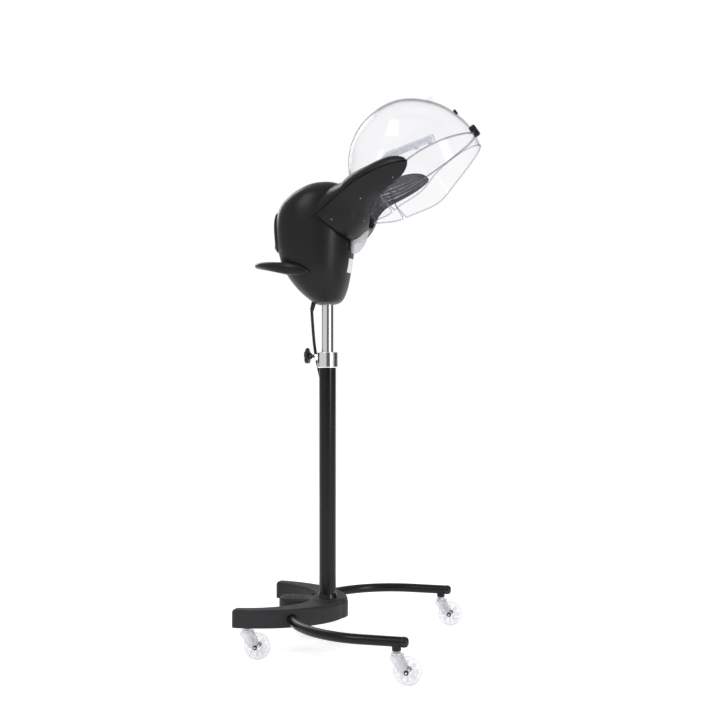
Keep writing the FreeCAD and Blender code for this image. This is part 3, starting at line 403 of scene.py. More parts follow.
CORD_D = 0.007
COIL_CENTRE = (-0.117, 0.384)
COIL_R = 0.0385
CORD_ROUTE = [(-39.5, 0.0, 800.0), (-38.6, 5.0, 762.0), (-36.0, 13.0, 706.0), (-27.0, 24.0, 650.0),
              (-14.0, 31.0, 588.0), (-8.5, 33.0, 505.0), (-7.0, 33.5, 405.0), (-7.5, 34.5, 305.0),
              (-9.0, 37.0, 215.0), (-9.8, 38.3, 168.0), (-19.0, 68.0, 134.0), (-30.0, 112.0, 127.0),
              (-41.0, 158.0, 118.0), (-52.0, 196.0, 84.0), (-60.0, 222.0, 38.0), (-66.0, 262.0, 6.5),
              (-72.0, 314.0, 3.6), (-75.0, 352.0, 3.55)]


def coil_points():
    """Four turns: two on the floor side by side, then two on top, leaving towards the plug."""
    points, steps, half = [], 14, CORD_D / 2
    radii = [COIL_R + half, COIL_R - half, COIL_R - half, COIL_R + half]
    levels = [half, half, 3 * half, 3 * half]
    turns = 3.5
    for k in range(int(turns * steps) + 1):
        t = k / steps
        i = min(int(t), 3)
        rise = min(1.0, (t - i) * 3.0)
        before = radii[i - 1] if i else radii[0]
        below = levels[i - 1] if i else levels[0]
        r = before + (radii[i] - before) * rise
        z = below + (levels[i] - below) * rise
        a = TURN * t
        points.append((COIL_CENTRE[0] + r * math.cos(a), COIL_CENTRE[1] + r * math.sin(a), z))
    return points


def cord_spline(name, route, thickness):
    """A curve object of one open spline whose control points are the route's."""
    data = bpy.data.curves.new(name, "CURVE")
    data.dimensions = "3D"
    data.bevel_depth = thickness
    data.bevel_resolution = 4
    data.resolution_u = 8
    data.use_fill_caps = thickness > 0
    line = data.splines.new("NURBS")
    line.points.add(len(route) - 1)
    for point, place in zip(line.points, route):
        point.co = (*place, 1.0)
    line.order_u = 3
    line.use_endpoint_u = True
    thing = bpy.data.objects.new(name, data)
    bpy.context.collection.objects.link(thing)
    return thing


def make_cord(material):
    """The lead as a mesh tube round its own spline."""
    route = [(x * MM, y * MM, z * MM) for x, y, z in CORD_ROUTE] + coil_points()
    bare, thick = cord_spline("cord_line", route, 0.0), cord_spline("cord_tube", route, CORD_D / 2)
    look = bpy.context.evaluated_depsgraph_get()
    line = bpy.data.meshes.new_from_object(bare.evaluated_get(look))
    tube = bpy.data.meshes.new_from_object(thick.evaluated_get(look))
    bpy.data.objects.remove(bare)
    bpy.data.objects.remove(thick)
    cord = bpy.data.objects.new("power_cord", tube)
    bpy.context.collection.objects.link(cord)
    tube.shade_smooth()
    tube.materials.clear()
    tube.materials.append(material)
    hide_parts("cord_hang", "cord_floor", "cord_coil")
    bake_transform(cord)


# ---------------------------------------------------------------- head

SEAM = [(-140.0, 912.0), (-117.0, 930.0), (-68.0, 961.0), (-2.0, 1019.0), (66.0, 1069.0), (101.0, 1091.0),
        (153.0, 1112.0), (190.0, 1122.0), (221.0, 1126.0), (250.0, 1127.0)]
SEAM_GAP = 0.6
LIP = 3.0
# level z, rear x, front x, half width
HEAD_RINGS = [
    (812.5, -4.0, -2.0, 1.0), (813.2, -20.0, 14.0, 18.0), (822.0, -37.0, 33.0, 43.0),
    (849.0, -68.0, 45.0, 66.0), (887.0, -97.0, 53.0, 82.0),
    (922.0, -112.0, 59.0, 88.0), (970.0, -120.0, 63.0, 92.0),
    (1020.0, -120.0, 66.0, 93.0), (1050.0, -109.0, 60.0, 90.0), (1075.0, -83.0, 52.0, 82.0),
    (1094.0, -50.0, 42.0, 62.0), (1102.0, -26.0, 26.0, 38.0), (1104.5, -2.0, 0.0, 1.0)]
HEAD_POWER = 2.3


def ring_lengths(rings):
    """Rings with the distance up the outside put first, from steps in level, front reach and half width."""
    table = np.array(rings, float)
    steps = np.diff(table[:, [0, 2, 3]], axis=0)
    far = np.concatenate([[0.0], np.cumsum(np.linalg.norm(steps, axis=1))])
    return np.column_stack([far, table])


HEAD_TABLE = ring_lengths(HEAD_RINGS)


def head_at(far, turn):
    """The head's skin: at each distance up it, a superellipse from rear to front."""
    z, rear, front, half = np.moveaxis(read(HEAD_TABLE, far), -1, 0)
    c, s = np.cos(turn), np.sin(turn)
    x = (rear + front) / 2 + (front - rear) / 2 * power(c, 2 / HEAD_POWER)
    y = half * power(s, 2 / HEAD_POWER)
    return np.stack(np.broadcast_arrays(x, y, z), -1)


def reach_to(skin, end, turns, past, begin=0.0):
    """How far along each turn's line the skin runs before past() rises above 0, from begin to end."""
    far = np.linspace(begin, end, 1200)
    value = past(skin(far[:, None], turns[None, :]))
    hit = (value > 0).argmax(0)
    hit[~(value > 0).any(0)] = len(far) - 1
    hit = np.maximum(hit, 1)
    cols = np.arange(len(turns))
    v0, v1 = value[hit - 1, cols], value[hit, cols]
    share = np.clip(v0 / np.where(np.abs(v0 - v1) < 1e-9, -1e9, v0 - v1), 0.0, 1.0)
    return far[hit - 1] + (far[hit] - far[hit - 1]) * share


def rolled_edge(grid, middle, depth=LIP):
    """A grid with rows added after its last, which turn its edge inwards towards a middle line."""
    last, before = grid[-1], grid[-2]
    forth = last - before
    forth /= np.maximum(np.linalg.norm(forth, axis=1), 1e-6)[:, None]
    inward = middle - last
    inward /= np.maximum(np.linalg.norm(inward, axis=1), 1e-6)[:, None]
    steps = np.array([(0.3, 0.2), (0.45, 0.7), (0.45, depth)])[:, :, None, None]
    return np.concatenate([grid, last + steps[:, 0] * forth + steps[:, 1] * inward])


def head_half(upper, turns=192, rows=80):
    """The head's skin on one side of the seam, from its pole to the seam, with the edge rolled in."""
    turn = (np.arange(turns) + 0.5) * TURN / turns
    top = HEAD_TABLE[-1, 0]
    sign = -1.0 if upper else 1.0

    def past(p):
        return sign * (p[..., 2] - read(SEAM, p[..., 0])) + SEAM_GAP

    start, end = (top, 0.0) if upper else (0.0, top)
    edge = reach_to(head_at, end, turn, past, start)
    share = np.linspace(0, 1, rows)[:, None]
    grid = head_at(start + (edge[None] - start) * share, turn[None] + 0 * share)
    middle = np.column_stack([np.full(turns, -25.0), np.zeros(turns), grid[-1][:, 2]])
    return rolled_edge(grid, middle)


# ---------------------------------------------------------------- collar that carries the hood

# level z, front x, half width of the collar's leaning outside
HULL = [(960.0, 66.0, 30.0), (968.0, 84.0, 58.0), (976.0, 92.0, 72.0), (992.0, 104.0, 87.0),
        (1010.0, 112.0, 95.0), (1030.0, 121.0, 99.5), (1050.0, 143.0, 105.0),
        (1070.0, 190.0, 113.0), (1090.0, 252.0, 123.0),
        (1110.0, 310.0, 136.0), (1130.0, 380.0, 150.0)]
HULL_MIDDLE, HULL_REACH, HULL_POWER = 60.0, 230.0, 2.5
EAR_OUT = [(-60.0, 80.0), (0.0, 94.0), (60.0, 109.0), (120.0, 127.0), (180.0, 139.0),
           (206.0, 141.5), (235.0, 143.0)]
COLLAR_TOP = [(-60.0, 1062.0), (-20.0, 1081.0), (12.0, 1091.0), (50.0, 1101.0), (84.0, 1112.5),
              (122.0, 1123.0), (153.0, 1133.0), (182.0, 1139.5), (204.0, 1138.0),
              (215.0, 1133.0), (221.0, 1126.5)]
# level z, x, half width of the lower edge of an arm
ARM_EDGE = [(992.0, 104.3, 0.3), (1000.0, 107.4, 8.0), (1010.0, 111.0, 22.0), (1025.0, 116.0, 43.0),
            (1038.0, 123.0, 54.0), (1052.0, 137.0, 63.0), (1068.0, 163.0, 77.0), (1089.0, 192.0, 99.0),
            (1104.0, 209.0, 113.0), (1118.0, 219.0, 125.0), (1125.6, 221.2, 131.0)]
PANEL_FOOT = [(962.0, 66.0), (1019.0, -2.0)]
TIP_X, TIP_Y, TIP_LONG = 221.2, 129.0, 13.0


def near_tip(x, y):
    """Half widths drawn together over the arm's last stretch, as a quarter ellipse, to round its end."""
    share = np.clip((x - TIP_X + TIP_LONG) / TIP_LONG, 0.0, 1.0)
    return TIP_Y + (y - TIP_Y) * np.sqrt(1.0 - 0.97 * share ** 2)


def hull_skin(z, share):
    """The collar's outside at level z, share of the way round from the seam or foot to its lower edge."""
    front, half = np.moveaxis(read(HULL, z), -1, 0)
    seam_x = np.interp(z + SEAM_GAP, [p[1] for p in SEAM], [p[0] for p in SEAM])
    foot_x = np.interp(z, [p[0] for p in PANEL_FOOT], [p[1] for p in PANEL_FOOT])
    start = np.where(z > PANEL_FOOT[1][0], seam_x, foot_x)
    edge_z = np.maximum(z, ARM_EDGE[0][0])
    end = np.where(z > ARM_EDGE[0][0], read(ARM_EDGE, edge_z)[..., 0], front)
    end = np.maximum(end, start + 0.02)

    def angle(x):
        reach = np.where(x < HULL_MIDDLE, HULL_REACH, front - HULL_MIDDLE)
        c = power(np.clip((x - HULL_MIDDLE) / reach, -1.0, 1.0), HULL_POWER / 2)
        return np.arccos(c)

    a = angle(start) + (angle(end) - angle(start)) * share
    c, s = np.cos(a), np.sin(a)
    reach = np.where(c < 0, HULL_REACH, front - HULL_MIDDLE)
    x = HULL_MIDDLE + reach * power(c, 2 / HULL_POWER)
    y = half * power(s, 2 / HULL_POWER)
    y = np.where(y > 60.0, softest(y, read(EAR_OUT, x), 2.0), y)
    return np.stack(np.broadcast_arrays(x, np.maximum(near_tip(x, y), 0.35), z), -1)


def pod_width(x, z):
    """Half width of the head's skin at x and level z, 0 outside it."""
    rear, front, half = np.moveaxis(read(HEAD_RINGS, z), -1, 0)
    share = np.clip(np.abs(x - (rear + front) / 2) / ((front - rear) / 2), 0.0, 1.0)
    return half * (1.0 - share ** HEAD_POWER) ** (1 / HEAD_POWER)


def side_panel(side):
    """One side of the collar: level by level round its outside, with all its edges turned in."""
    z = np.concatenate([np.linspace(961.0, 992.0, 26), np.linspace(993.0, 1125.4, 96)])[:, None]
    skin = hull_skin(z, np.linspace(0, 1, 56)[None])
    first, last = skin[:, :1], skin[:, -1:]
    across = np.linalg.norm(first - last, axis=2, keepdims=True)
    room = np.clip(first[..., 1:2] - last[..., 1:2] + across, 0, 6.0) / 6.0
    inner = np.minimum(pod_width(first[..., 0], z), first[..., 1]) - 2.0
    inner = np.where(z > PANEL_FOOT[1][0], first[..., 1] - LIP, inner)
    start = [np.stack([first[..., 0], np.maximum(inner, 0.35), first[..., 2]], -1),
             first + np.array([-0.2, -0.8, 0.0]) * room]
    forth = skin[:, -1:] - skin[:, -2:-1]
    forth = forth / np.maximum(np.linalg.norm(forth, axis=2, keepdims=True), 1e-6)
    inward = np.stack([forth[..., 1], -forth[..., 0], 0 * forth[..., 0]], -1)
    open_edge = (z[..., None] > ARM_EDGE[0][0] + 2.0) * room
    end = [last + (forth * 0.7 + inward * 0.4) * open_edge, last + (forth * 1.0 + inward * 1.4) * open_edge,
           last + (forth * 0.7 + inward * 2.4) * open_edge, last + (inward * 3.0 - forth * 5.0) * open_edge]
    grid = np.concatenate(start + [skin] + end, axis=1)
    grid[..., 1] = np.maximum(grid[..., 1], 0.35) * side
    return grid


SCREWS = [(36.0, 1006.0), (105.0, 1051.0), (184.0, 1094.0), (104.0, 1005.0)]


def screw_heads(radius, proud):
    """Round heads square to the collar's outside, found on the level line through each screw."""
    heads = []
    for x, z in SCREWS:
        for side in (-1, 1):
            line = hull_skin(np.array([[z], [z + 1.0]]), np.linspace(0, 1, 400)[None])
            k = np.abs(line[0, :, 0] - x).argmin()
            along, up = line[0, k + 1] - line[0, k - 1], line[1, k] - line[0, k]
            out = np.cross(up, along)
            out *= np.sign(out[1]) / np.linalg.norm(out)
            place, out = line[0, k] * (1, side, 1), out * (1, side, 1)
            profile = [(-2.0, 0.0), (-2.0, radius), (proud - 0.2, radius), (proud, radius - 0.3),
                       (proud, 0.0)]
            heads.append((turned(profile, place, out, 24), True))
    return heads


# level n, rear u, front u, half width, power of the rounding behind and before the widest place
HOOD_RINGS = [
    (-45.0, 10.0, 290.0, 106.0, 1.5, 1.6), (0.0, 0.0, 305.0, 114.0, 1.55, 1.65),
    (45.0, -2.0, 311.0, 120.0, 1.7, 1.8), (90.0, 4.0, 303.0, 121.5, 1.9, 1.95),
    (130.0, 18.0, 286.0, 116.0, 2.05, 2.05),
    (165.0, 44.0, 258.0, 102.0, 2.1, 2.1), (190.0, 76.0, 226.0, 76.0, 2.1, 2.1),
    (203.0, 106.0, 192.0, 45.0, 2.1, 2.1), (208.5, 132.0, 166.0, 17.0, 2.1, 2.1),
    (209.3, 148.5, 149.5, 0.5, 2.1, 2.1)]
HOOD_TABLE = ring_lengths(HOOD_RINGS)
HOOD_AT = (115.0, 1005.0)
TILT = math.radians(34.7)
WIDEST_U = 176.0
RIM = [(-20.0, 0.0), (0.0, 0.0), (40.0, -15.0), (88.0, -24.0), (144.0, -31.0), (201.0, -17.0),
       (264.0, -6.0), (330.0, 0.0)]
VISOR_TOP = [(52.0, -60.0), (58.0, 20.0), (95.0, 42.0), (155.0, 45.0), (235.0, 40.0), (335.0, 24.0)]
HOOD_WALL = 2.6
CUP_WALL = 1.4


def hood_world(u, y, n):
    """The hood's own axes, u up and forward along its mouth and n up its dome, turned into the frame's."""
    x = HOOD_AT[0] + u * math.cos(TILT) - n * math.sin(TILT)
    z = HOOD_AT[1] + u * math.sin(TILT) + n * math.cos(TILT)
    return np.stack(np.broadcast_arrays(x, y, z), -1)


def hood_at(far, turn):
    """The hood's skin in its own axes: an egg at each level, its two ends rounded by their own powers."""
    n, rear, front, half, behind, before = np.moveaxis(read(HOOD_TABLE, far), -1, 0)
    middle = np.minimum(WIDEST_U, (rear + front) / 2 + (front - rear) / 12)
    c, s = np.cos(turn), np.sin(turn)
    p = behind + (before - behind) * ease(c, -0.2, 0.2)
    u = middle + np.where(c < 0, middle - rear, front - middle) * power(c, 2 / p)
    y = half * power(s, 2 / p)
    return np.stack(np.broadcast_arrays(u, y, n), -1)


def hood_width(x, z):
    """Half width of the hood's outside at x and z, 0 outside it."""
    dx, dz = x - HOOD_AT[0], z - HOOD_AT[1]
    u = dx * math.cos(TILT) + dz * math.sin(TILT)
    n = -dx * math.sin(TILT) + dz * math.cos(TILT)
    rear, front, half, behind, before = np.moveaxis(read(HOOD_RINGS, n), -1, 0)
    middle = np.minimum(WIDEST_U, (rear + front) / 2 + (front - rear) / 12)
    p = np.where(u < middle, behind, before)
    reach = np.where(u < middle, middle - rear, front - middle)
    share = np.clip(np.abs(u - middle) / reach, 0.0, 1.0)
    return half * (1.0 - share ** p) ** (1 / p)


def top_cover():
    """Cover over the collar: station by station, from the seam over its ridge and down to the hood."""
    tip = TIP_X - 15.2 * np.cos(np.linspace(0, 1.565, 16))
    x = np.concatenate([np.linspace(-44.0, 40.0, 24)[:-1], np.linspace(40.0, 120.0, 44)[:-1],
                        np.linspace(120.0, 206.0, 34)[:-1], tip])[:, None]
    seam, top, out = read(SEAM, x) + SEAM_GAP, read(COLLAR_TOP, x), read(EAR_OUT, x)
    top = np.maximum(top, seam + 0.4)
    inner = hood_width(x, top) + 1.6 * ease(x, 50.0, 62.0)
    inner = np.where(x < 58.0, np.minimum(inner, 4.0 * ease(x, 50.0, 58.0)), inner)
    out, inner = near_tip(x, out), np.minimum(near_tip(x, inner), out - 0.4)
    rise, corner = top - seam, np.minimum(3.0, (top - seam) * 0.3) * ease(inner, 2.0, 12.0)
    a = np.linspace(0, math.pi / 2, 26)[None]
    y = inner + corner + (out - inner - corner) * np.cos(a) ** (2 / 2.3)
    z = seam + rise * np.sin(a) ** (2 / 2.0)
    b = np.linspace(0, math.pi / 2, 6)[None, 1:]
    y_in, z_in = inner + corner * (1 - np.sin(b)), top - corner * (1 - np.cos(b))
    drop = top - corner - np.minimum(rise * 0.5, 12.0) * ease(inner, 2.0, 12.0)
    ys = np.concatenate([out - LIP, out - 0.7, out - 0.2, y, y_in, inner], axis=1)
    zs = np.concatenate([seam - 0.2, seam - 0.2, seam + 0.0, z, z_in, drop], axis=1)
    half = np.stack(np.broadcast_arrays(x, np.maximum(ys, 0.0), zs), -1)
    return [(half * np.array([1, side, 1]), False) for side in (-1, 1)]


def arm_lining(side):
    """Inner face of one arm, from its lower edge up beside the hood, with a long sunk channel and a rib."""
    z_edge = np.concatenate([np.linspace(992.0, 1010.0, 14)[:-1], np.linspace(1010.0, 1125.4, 90)])
    x_edge, y_edge = np.moveaxis(read(ARM_EDGE, z_edge), -1, 0)
    rise = np.full_like(x_edge, 20.0)
    for _ in range(12):
        x_top = x_edge - rise * math.sin(TILT)
        rise = 0.5 * rise + 0.5 * np.maximum((read(COLLAR_TOP, x_top) - 1.5 - z_edge) / math.cos(TILT), 0.5)
    t = np.linspace(0, 1, 40)[:, None]
    up = rise[None] * t
    x = x_edge[None] - up * math.sin(TILT)
    z = z_edge[None] + up * math.cos(TILT)
    beside = np.maximum(hood_width(x, z) + 1.4, 0.35)
    y = y_edge[None] + (np.maximum(beside, 0) - y_edge[None]) * ease(up, 0.0, 14.0)
    run = np.linspace(0, 1, len(z_edge))[None]
    deep = ease(t, 0.16, 0.2) * (1 - ease(t, 0.56, 0.6)) * ease(run, 0.3, 0.34) * (1 - ease(run, 0.9, 0.93))
    rib = np.exp(-((t - 0.38) / 0.035) ** 2) * ease(run, 0.34, 0.38) * (1 - ease(run, 0.86, 0.9))
    y = y + (3.2 * deep - 2.6 * rib) * np.clip(rise[None] / 40.0, 0, 1)
    y = np.maximum(np.where(x > TIP_X - TIP_LONG, near_tip(x, y), y), 0.35)
    return np.stack([x, side * y, z], -1)


# ---------------------------------------------------------------- hood

def hood_skins(turns=300):
    """The dome and the visor, each as a grid from its upper edge down to its lower."""
    turn = (np.arange(turns) + 0.5) * TURN / turns
    top = HOOD_TABLE[-1, 0]

    def below_dome(p):
        u, n = p[..., 0], p[..., 2]
        return np.where(u < 57.0, read(RIM, u), read(VISOR_TOP, u)) - n

    def below_rim(p):
        return read(RIM, p[..., 0]) - p[..., 2]

    def below_gap(p):
        return read(VISOR_TOP, p[..., 0]) - 1.4 - p[..., 2]

    share = np.linspace(0, 1, 90)[:, None]
    dome_edge = reach_to(hood_at, 0.0, turn, below_dome, top)
    dome = hood_at(top + (dome_edge[None] - top) * share, turn[None] + 0 * share)
    upper = reach_to(hood_at, 0.0, turn, below_gap, top)
    lower = reach_to(hood_at, 0.0, turn, below_rim, top)
    ahead = hood_at(lower, turn)[:, 0] > 62.0
    cols = np.where(ahead)[0]
    cols = np.concatenate([cols[cols > turns // 2], cols[cols <= turns // 2]])
    share = share[::3]
    visor = hood_at(upper[cols][None] + (lower - upper)[cols][None] * share, turn[cols][None] + 0 * share)
    return tuple(hood_world(g[..., 0], g[..., 1], g[..., 2]) for g in (dome, visor))


def make_hood():
    """Dome and visor as sheets given a wall, each with a round bead along its free edges."""
    dome, visor = hood_skins()
    thicken(build("hood_shell", "head", HOOD_CLEAR, [(dome, True)], ["hood_dome"],
                  closed=False), HOOD_WALL)
    thicken(build("visor_shell", "visor_flap", HOOD_CLEAR, [(visor, False)], ["visor"],
                  closed=False), HOOD_WALL)
    build("hood_bead", "head", EDGE_CLEAR, [(bead(dome[-1], 1.7, True), True)], crease=80.0)
    rim = np.concatenate([visor[-1], visor[::-1, -1][1:], visor[0, ::-1][1:], visor[:, 0][1:-1]])
    build("visor_bead", "visor_flap", EDGE_CLEAR, [(bead(rim, 1.8, True), True)], crease=80.0)


# ---------------------------------------------------------------- handle, knob and wheels

def handle_loop():
    """Loop handle: a flattened superellipse carried round the head's back, thin behind, deep at its tips."""
    t = np.concatenate([-1 + 0.12 * np.linspace(0, 1, 16)[:-1] ** 2, np.linspace(-0.88, 0.88, 90),
                        1 - 0.12 * np.linspace(1, 0, 16)[1:] ** 2])
    a = math.pi + t * math.radians(104.0)
    x, y = -50.0 + 118.0 * np.cos(a), 87.0 * np.sin(a)
    out = np.column_stack([np.cos(a) / 118.0, np.sin(a) / 87.0])
    out /= np.linalg.norm(out, axis=1)[:, None]
    end = np.clip((np.abs(t) - 0.7) / 0.3, 0.0, 1.0)
    shrink = np.sqrt(np.maximum(1.0 - end ** 2.4, 0.0004))
    deep = read([(-180.0, 5.2), (-150.0, 7.6), (-98.0, 12.6), (-50.0, 14.6), (-20.0, 13.4)], x) * shrink
    level = read([(-180.0, 909.0), (-140.0, 905.0), (-98.0, 898.5), (-50.0, 892.5), (-20.0, 886.0)], x)
    b = np.arange(40) * TURN / 40
    wide = 10.9 * shrink[:, None] * power(np.cos(b), 2 / 2.6)[None]
    return np.stack([x[:, None] + out[:, :1] * wide, y[:, None] + out[:, 1:] * wide,
                     level[:, None] + deep[:, None] * power(np.sin(b), 2 / 2.4)[None]], -1)


def star_knob():
    """Five-lobed knob: its radius swells five times a turn, on a neck and a stud to the column."""
    b = np.linspace(-math.pi / 2, math.pi / 2, 22)
    a = np.arange(140) * TURN / 140
    lobe = 15.0 + 4.6 * np.abs(np.cos(2.5 * a)) ** 0.8
    r = lobe[None] * np.cos(b)[:, None] ** 0.35
    x = -50.0 - 4.8 * power(np.sin(b), 0.5)
    low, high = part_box("lock_knob")
    level = (low[2] + high[2]) / 2 / MM
    head = np.stack(np.broadcast_arrays(x[:, None], r * np.sin(a)[None], level + r * np.cos(a)[None]), -1)
    shaft = turned(rounded([(-42.0, 0.0), (-42.0, 4.0), (-14.4, 4.0), (-14.4, 0.0)], 0.6),
                   (0, 0, level), (1, 0, 0), 32)
    neck = turned(rounded([(-46.5, 0.0), (-46.5, 9.0), (-43.0, 8.6), (-39.0, 6.0), (-39.0, 0.0)], 1.0),
                  (0, 0, level), (1, 0, 0), 40)
    cap = turned(rounded([(-54.0, 0.0), (-54.0, 8.0), (-56.0, 7.2), (-56.4, 5.0), (-56.4, 0.0)], 0.4),
                 (0, 0, level), (1, 0, 0), 40)
    return [(head, True), (shaft, True), (neck, True), (cap, True)]


# distance along the axle and radius of one side of a wheel, from its hub out to the middle of its tread
WHEEL_SIDE = [(-12.0, 0.0), (-12.0, 7.0), (-8.5, 9.0), (-7.0, 12.0), (-7.0, 21.0), (-10.8, 24.5),
              (-11.0, 28.0), (-8.0, 30.0), (-1.2, 30.0)]
WHEEL = rounded(WHEEL_SIDE + [(0.0, 29.5)] + [(-x, r) for x, r in reversed(WHEEL_SIDE)], 1.4)
SWIVEL_X = {"front": 227.0, "rear": -146.0}
HUB_OUT = 15.0


def fork_strap(pivot, axle, side):
    """Side of a caster's fork: a flat ellipse carried from the swivel to the axle, narrowing as it goes."""
    t = np.sin(np.linspace(-math.pi / 2, math.pi / 2, 28)) * 0.5 + 0.5
    end = np.sqrt(np.maximum(1.0 - (2 * np.abs(t - 0.5)) ** 6, 0.0004))
    x = pivot[0] - 3.0 + (axle[0] - pivot[0] + 3.0) * t ** 1.2
    z = 64.0 + (axle[2] - 7.0 - 64.0) * t
    wide = (15.0 - 8.0 * t) * end
    b = np.arange(20) * TURN / 20
    y = axle[1] + side * 13.6 + 1.4 * end[:, None] * power(np.sin(b), 0.5)[None]
    return np.stack([x[:, None] + wide[:, None] * np.cos(b)[None], y, z[:, None] + 0 * b[None]], -1)


def make_casters():
    """Clear wheels with a dished web and spokes, in clear forks under chromed plates, with black hub caps."""
    for name in ("front_left", "front_right", "rear_left", "rear_right"):
        low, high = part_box(name + "_wheel")
        middle = (np.array(low) + np.array(high)) / 2 / MM
        pivot = np.array([SWIVEL_X[name.split("_")[0]], middle[1], 0.0])
        build(name + "_tyre", name + "_roller", WHEEL_CLEAR,
              [(turned(WHEEL, middle, (0, 1, 0), 72), True)], [name + "_wheel"])
        spokes = []
        for k in range(8):
            a = k * TURN / 8
            line = middle + np.array([[9.0], [15.0], [23.0]]) * np.array([math.cos(a), 0.0, math.sin(a)])
            spokes.append((bead(line, 1.4, sides=8, flat=3.6), True))
        build(name + "_spokes", name + "_roller", WHEEL_CLEAR, spokes)
        bridge = pillow((pivot[0] + 2.0, middle[1], 63.0), (14.0, 14.4, 2.2), 3.0)
        build(name + "_fork_skin", name + "_swivel", FORK_CLEAR,
              [(fork_strap(pivot, middle, side), True) for side in (1, -1)] + [bridge], [name + "_fork"])
        plates = [turned(rounded([(z, 0.0), (z, r), (z + h, r), (z + h, 0.0)], 0.6), pivot, (0, 0, 1), 40)
                  for z, r, h in ((64.6, 12.5, 2.0), (67.6, 9.5, 1.6))]
        build(name + "_swivel_plate", name + "_swivel", CHROME, [(g, True) for g in plates])
        hubs = [turned(rounded([(0.0, 0.0), (0.0, 5.6), (1.6, 5.2), (2.4, 3.0), (2.4, 0.0)], 0.5),
                       middle + np.array([0, side * HUB_OUT, 0]), (0, side, 0), 28) for side in (1, -1)]
        build(name + "_hub_caps", name + "_swivel", GLOSS_BLACK, [(g, True) for g in hubs])
        tips = [turned(rounded([(2.0, 0.0), (2.0, 2.3), (3.4, 2.0), (3.8, 0.0)], 0.4),
                       middle + np.array([0, side * HUB_OUT, 0]), (0, side, 0), 20) for side in (1, -1)]
        build(name + "_axle_tips", name + "_swivel", CHROME, [(g, True) for g in tips])


def pillow(centre, half, p, turn=0.0):
    """A superellipsoid block of power p, tilted by turn about y: a small moulded piece with soft edges."""
    v = np.linspace(-math.pi / 2, math.pi / 2, 24)[:, None]
    a = np.arange(40)[None] * TURN / 40
    x = half[0] * power(np.cos(v), 2 / p) * power(np.cos(a), 2 / p)
    y = half[1] * power(np.cos(v), 2 / p) * power(np.sin(a), 2 / p)
    z = half[2] * power(np.sin(v), 2 / p) + 0 * a
    c, k = math.cos(turn), math.sin(turn)
    return np.stack([centre[0] + c * x - k * z, centre[1] + y, centre[2] + k * x + c * z], -1), True


def hood_block(u, y, n, half):
    """A small block on the hood, placed and turned in the hood's own axes."""
    place = hood_world(u, y, n)
    return pillow(place, half, 4.0, TILT)


def control_panel():
    """Rounded rectangle laid over the head's back: its face stands off the skin and falls at its border."""
    border = 0.9 + 0.1 * np.sin(np.linspace(0.12, 1, 10) * math.pi / 2)
    r = np.concatenate([np.linspace(0, 0.9, 20), border])[:, None]
    a = np.arange(120)[None] * TURN / 120
    y, z = 43.0 * r * power(np.cos(a), 2 / 6), 986.0 + 48.0 * r * power(np.sin(a), 2 / 6)
    rear, front, half = np.moveaxis(read(HEAD_RINGS, z), -1, 0)
    across = (1 - (np.abs(y) / half) ** HEAD_POWER) ** (1 / HEAD_POWER)
    skin = (rear + front) / 2 - (front - rear) / 2 * across
    stand = 6.0 * np.sqrt(np.clip(1.0 - np.clip((r - 0.9) / 0.1, 0, 1) ** 2 * 0.75, 0, 1))
    grid = np.stack([skin - stand, y, z], -1)
    return np.concatenate([grid, grid[-1:] + np.array([8.0, 0.0, 0.0])])


CUP_LEVELS = [(936.0, 60.0, 66.0, 9.0), (938.5, 60.0, 72.0, 17.0), (945.0, 60.0, 78.5, 22.0),
              (956.0, 60.0, 87.0, 26.0), (975.0, 60.0, 95.0, 29.0), (990.0, 60.0, 101.0, 30.0)]


def drip_cup():
    """Clear cup under the collar: a superellipse at each level, drawn in to a closed floor."""
    z = np.concatenate([np.linspace(936.0, 945.0, 12)[:-1], np.linspace(945.0, 990.0, 20)])[:, None]
    rear, front, half = np.moveaxis(read(CUP_LEVELS, z), -1, 0)
    a = np.arange(72)[None] * TURN / 72
    x = (rear + front) / 2 + (front - rear) / 2 * power(np.cos(a), 2 / 2.6)
    grid = np.stack(np.broadcast_arrays(x, half * power(np.sin(a), 2 / 2.6), z), -1)
    floor = np.broadcast_to(np.array([63.0, 0.0, 935.8]), (1, 72, 3))
    return np.concatenate([floor, grid])


# ---------------------------------------------------------------- assembly

make_camera()
make_stage()

SHELL_BLACK = moulded("shell_black", (0.0075, 0.0075, 0.0088), 0.34, 1500.0, 0.05, specular=0.22)
BASE_BLACK = moulded("base_black", (0.016, 0.016, 0.018), 0.55, 750.0, 0.4, specular=0.3)
GLOSS_BLACK = moulded("gloss_black", (0.005, 0.005, 0.006), 0.18, 2000.0, 0.02, coat=0.15, specular=0.3)
PAINT_BLACK = moulded("paint_black", (0.004, 0.004, 0.005), 0.22, 1200.0, 0.03, specular=0.26)
LINING_BLACK = moulded("lining_black", (0.004, 0.0045, 0.011), 0.3, 1500.0, 0.03, specular=0.4)
# Light blue-grey metal: painted highlight lines on the arm linings, and the screw centres.
HIGHLIGHT_AND_SCREW_METAL = metal("highlight_and_screw_grey", (0.32, 0.33, 0.42), 0.25)
CHROME = metal("chrome", (0.9, 0.9, 0.92), 0.05)
STEEL = metal("steel", (0.5, 0.5, 0.52), 0.3, 0.05)
HOOD_CLEAR = clear("hood_clear", (0.985, 0.985, 0.99), (0.4, 0.4, 0.48), 0.014)
EDGE_CLEAR = clear("edge_clear", (0.8, 0.8, 0.84), (0.3, 0.3, 0.36), 0.08)
WHEEL_CLEAR = clear("wheel_clear", (0.93, 0.93, 0.94), (0.3, 0.3, 0.34), 0.12, 0.1, 0.3)
FORK_CLEAR = clear("fork_clear", (0.86, 0.86, 0.87), (0.5, 0.5, 0.53), 0.3, 0.12)
MILKY = clear("cup_clear", (0.9, 0.91, 0.93), (0.5, 0.52, 0.56), 0.3, 0.1)
WHITE = moulded("label_white", (0.75, 0.75, 0.75), 0.5, 900.0, 0.02)
NYLON = moulded("nylon", (0.6, 0.6, 0.58), 0.45, 900.0, 0.03)
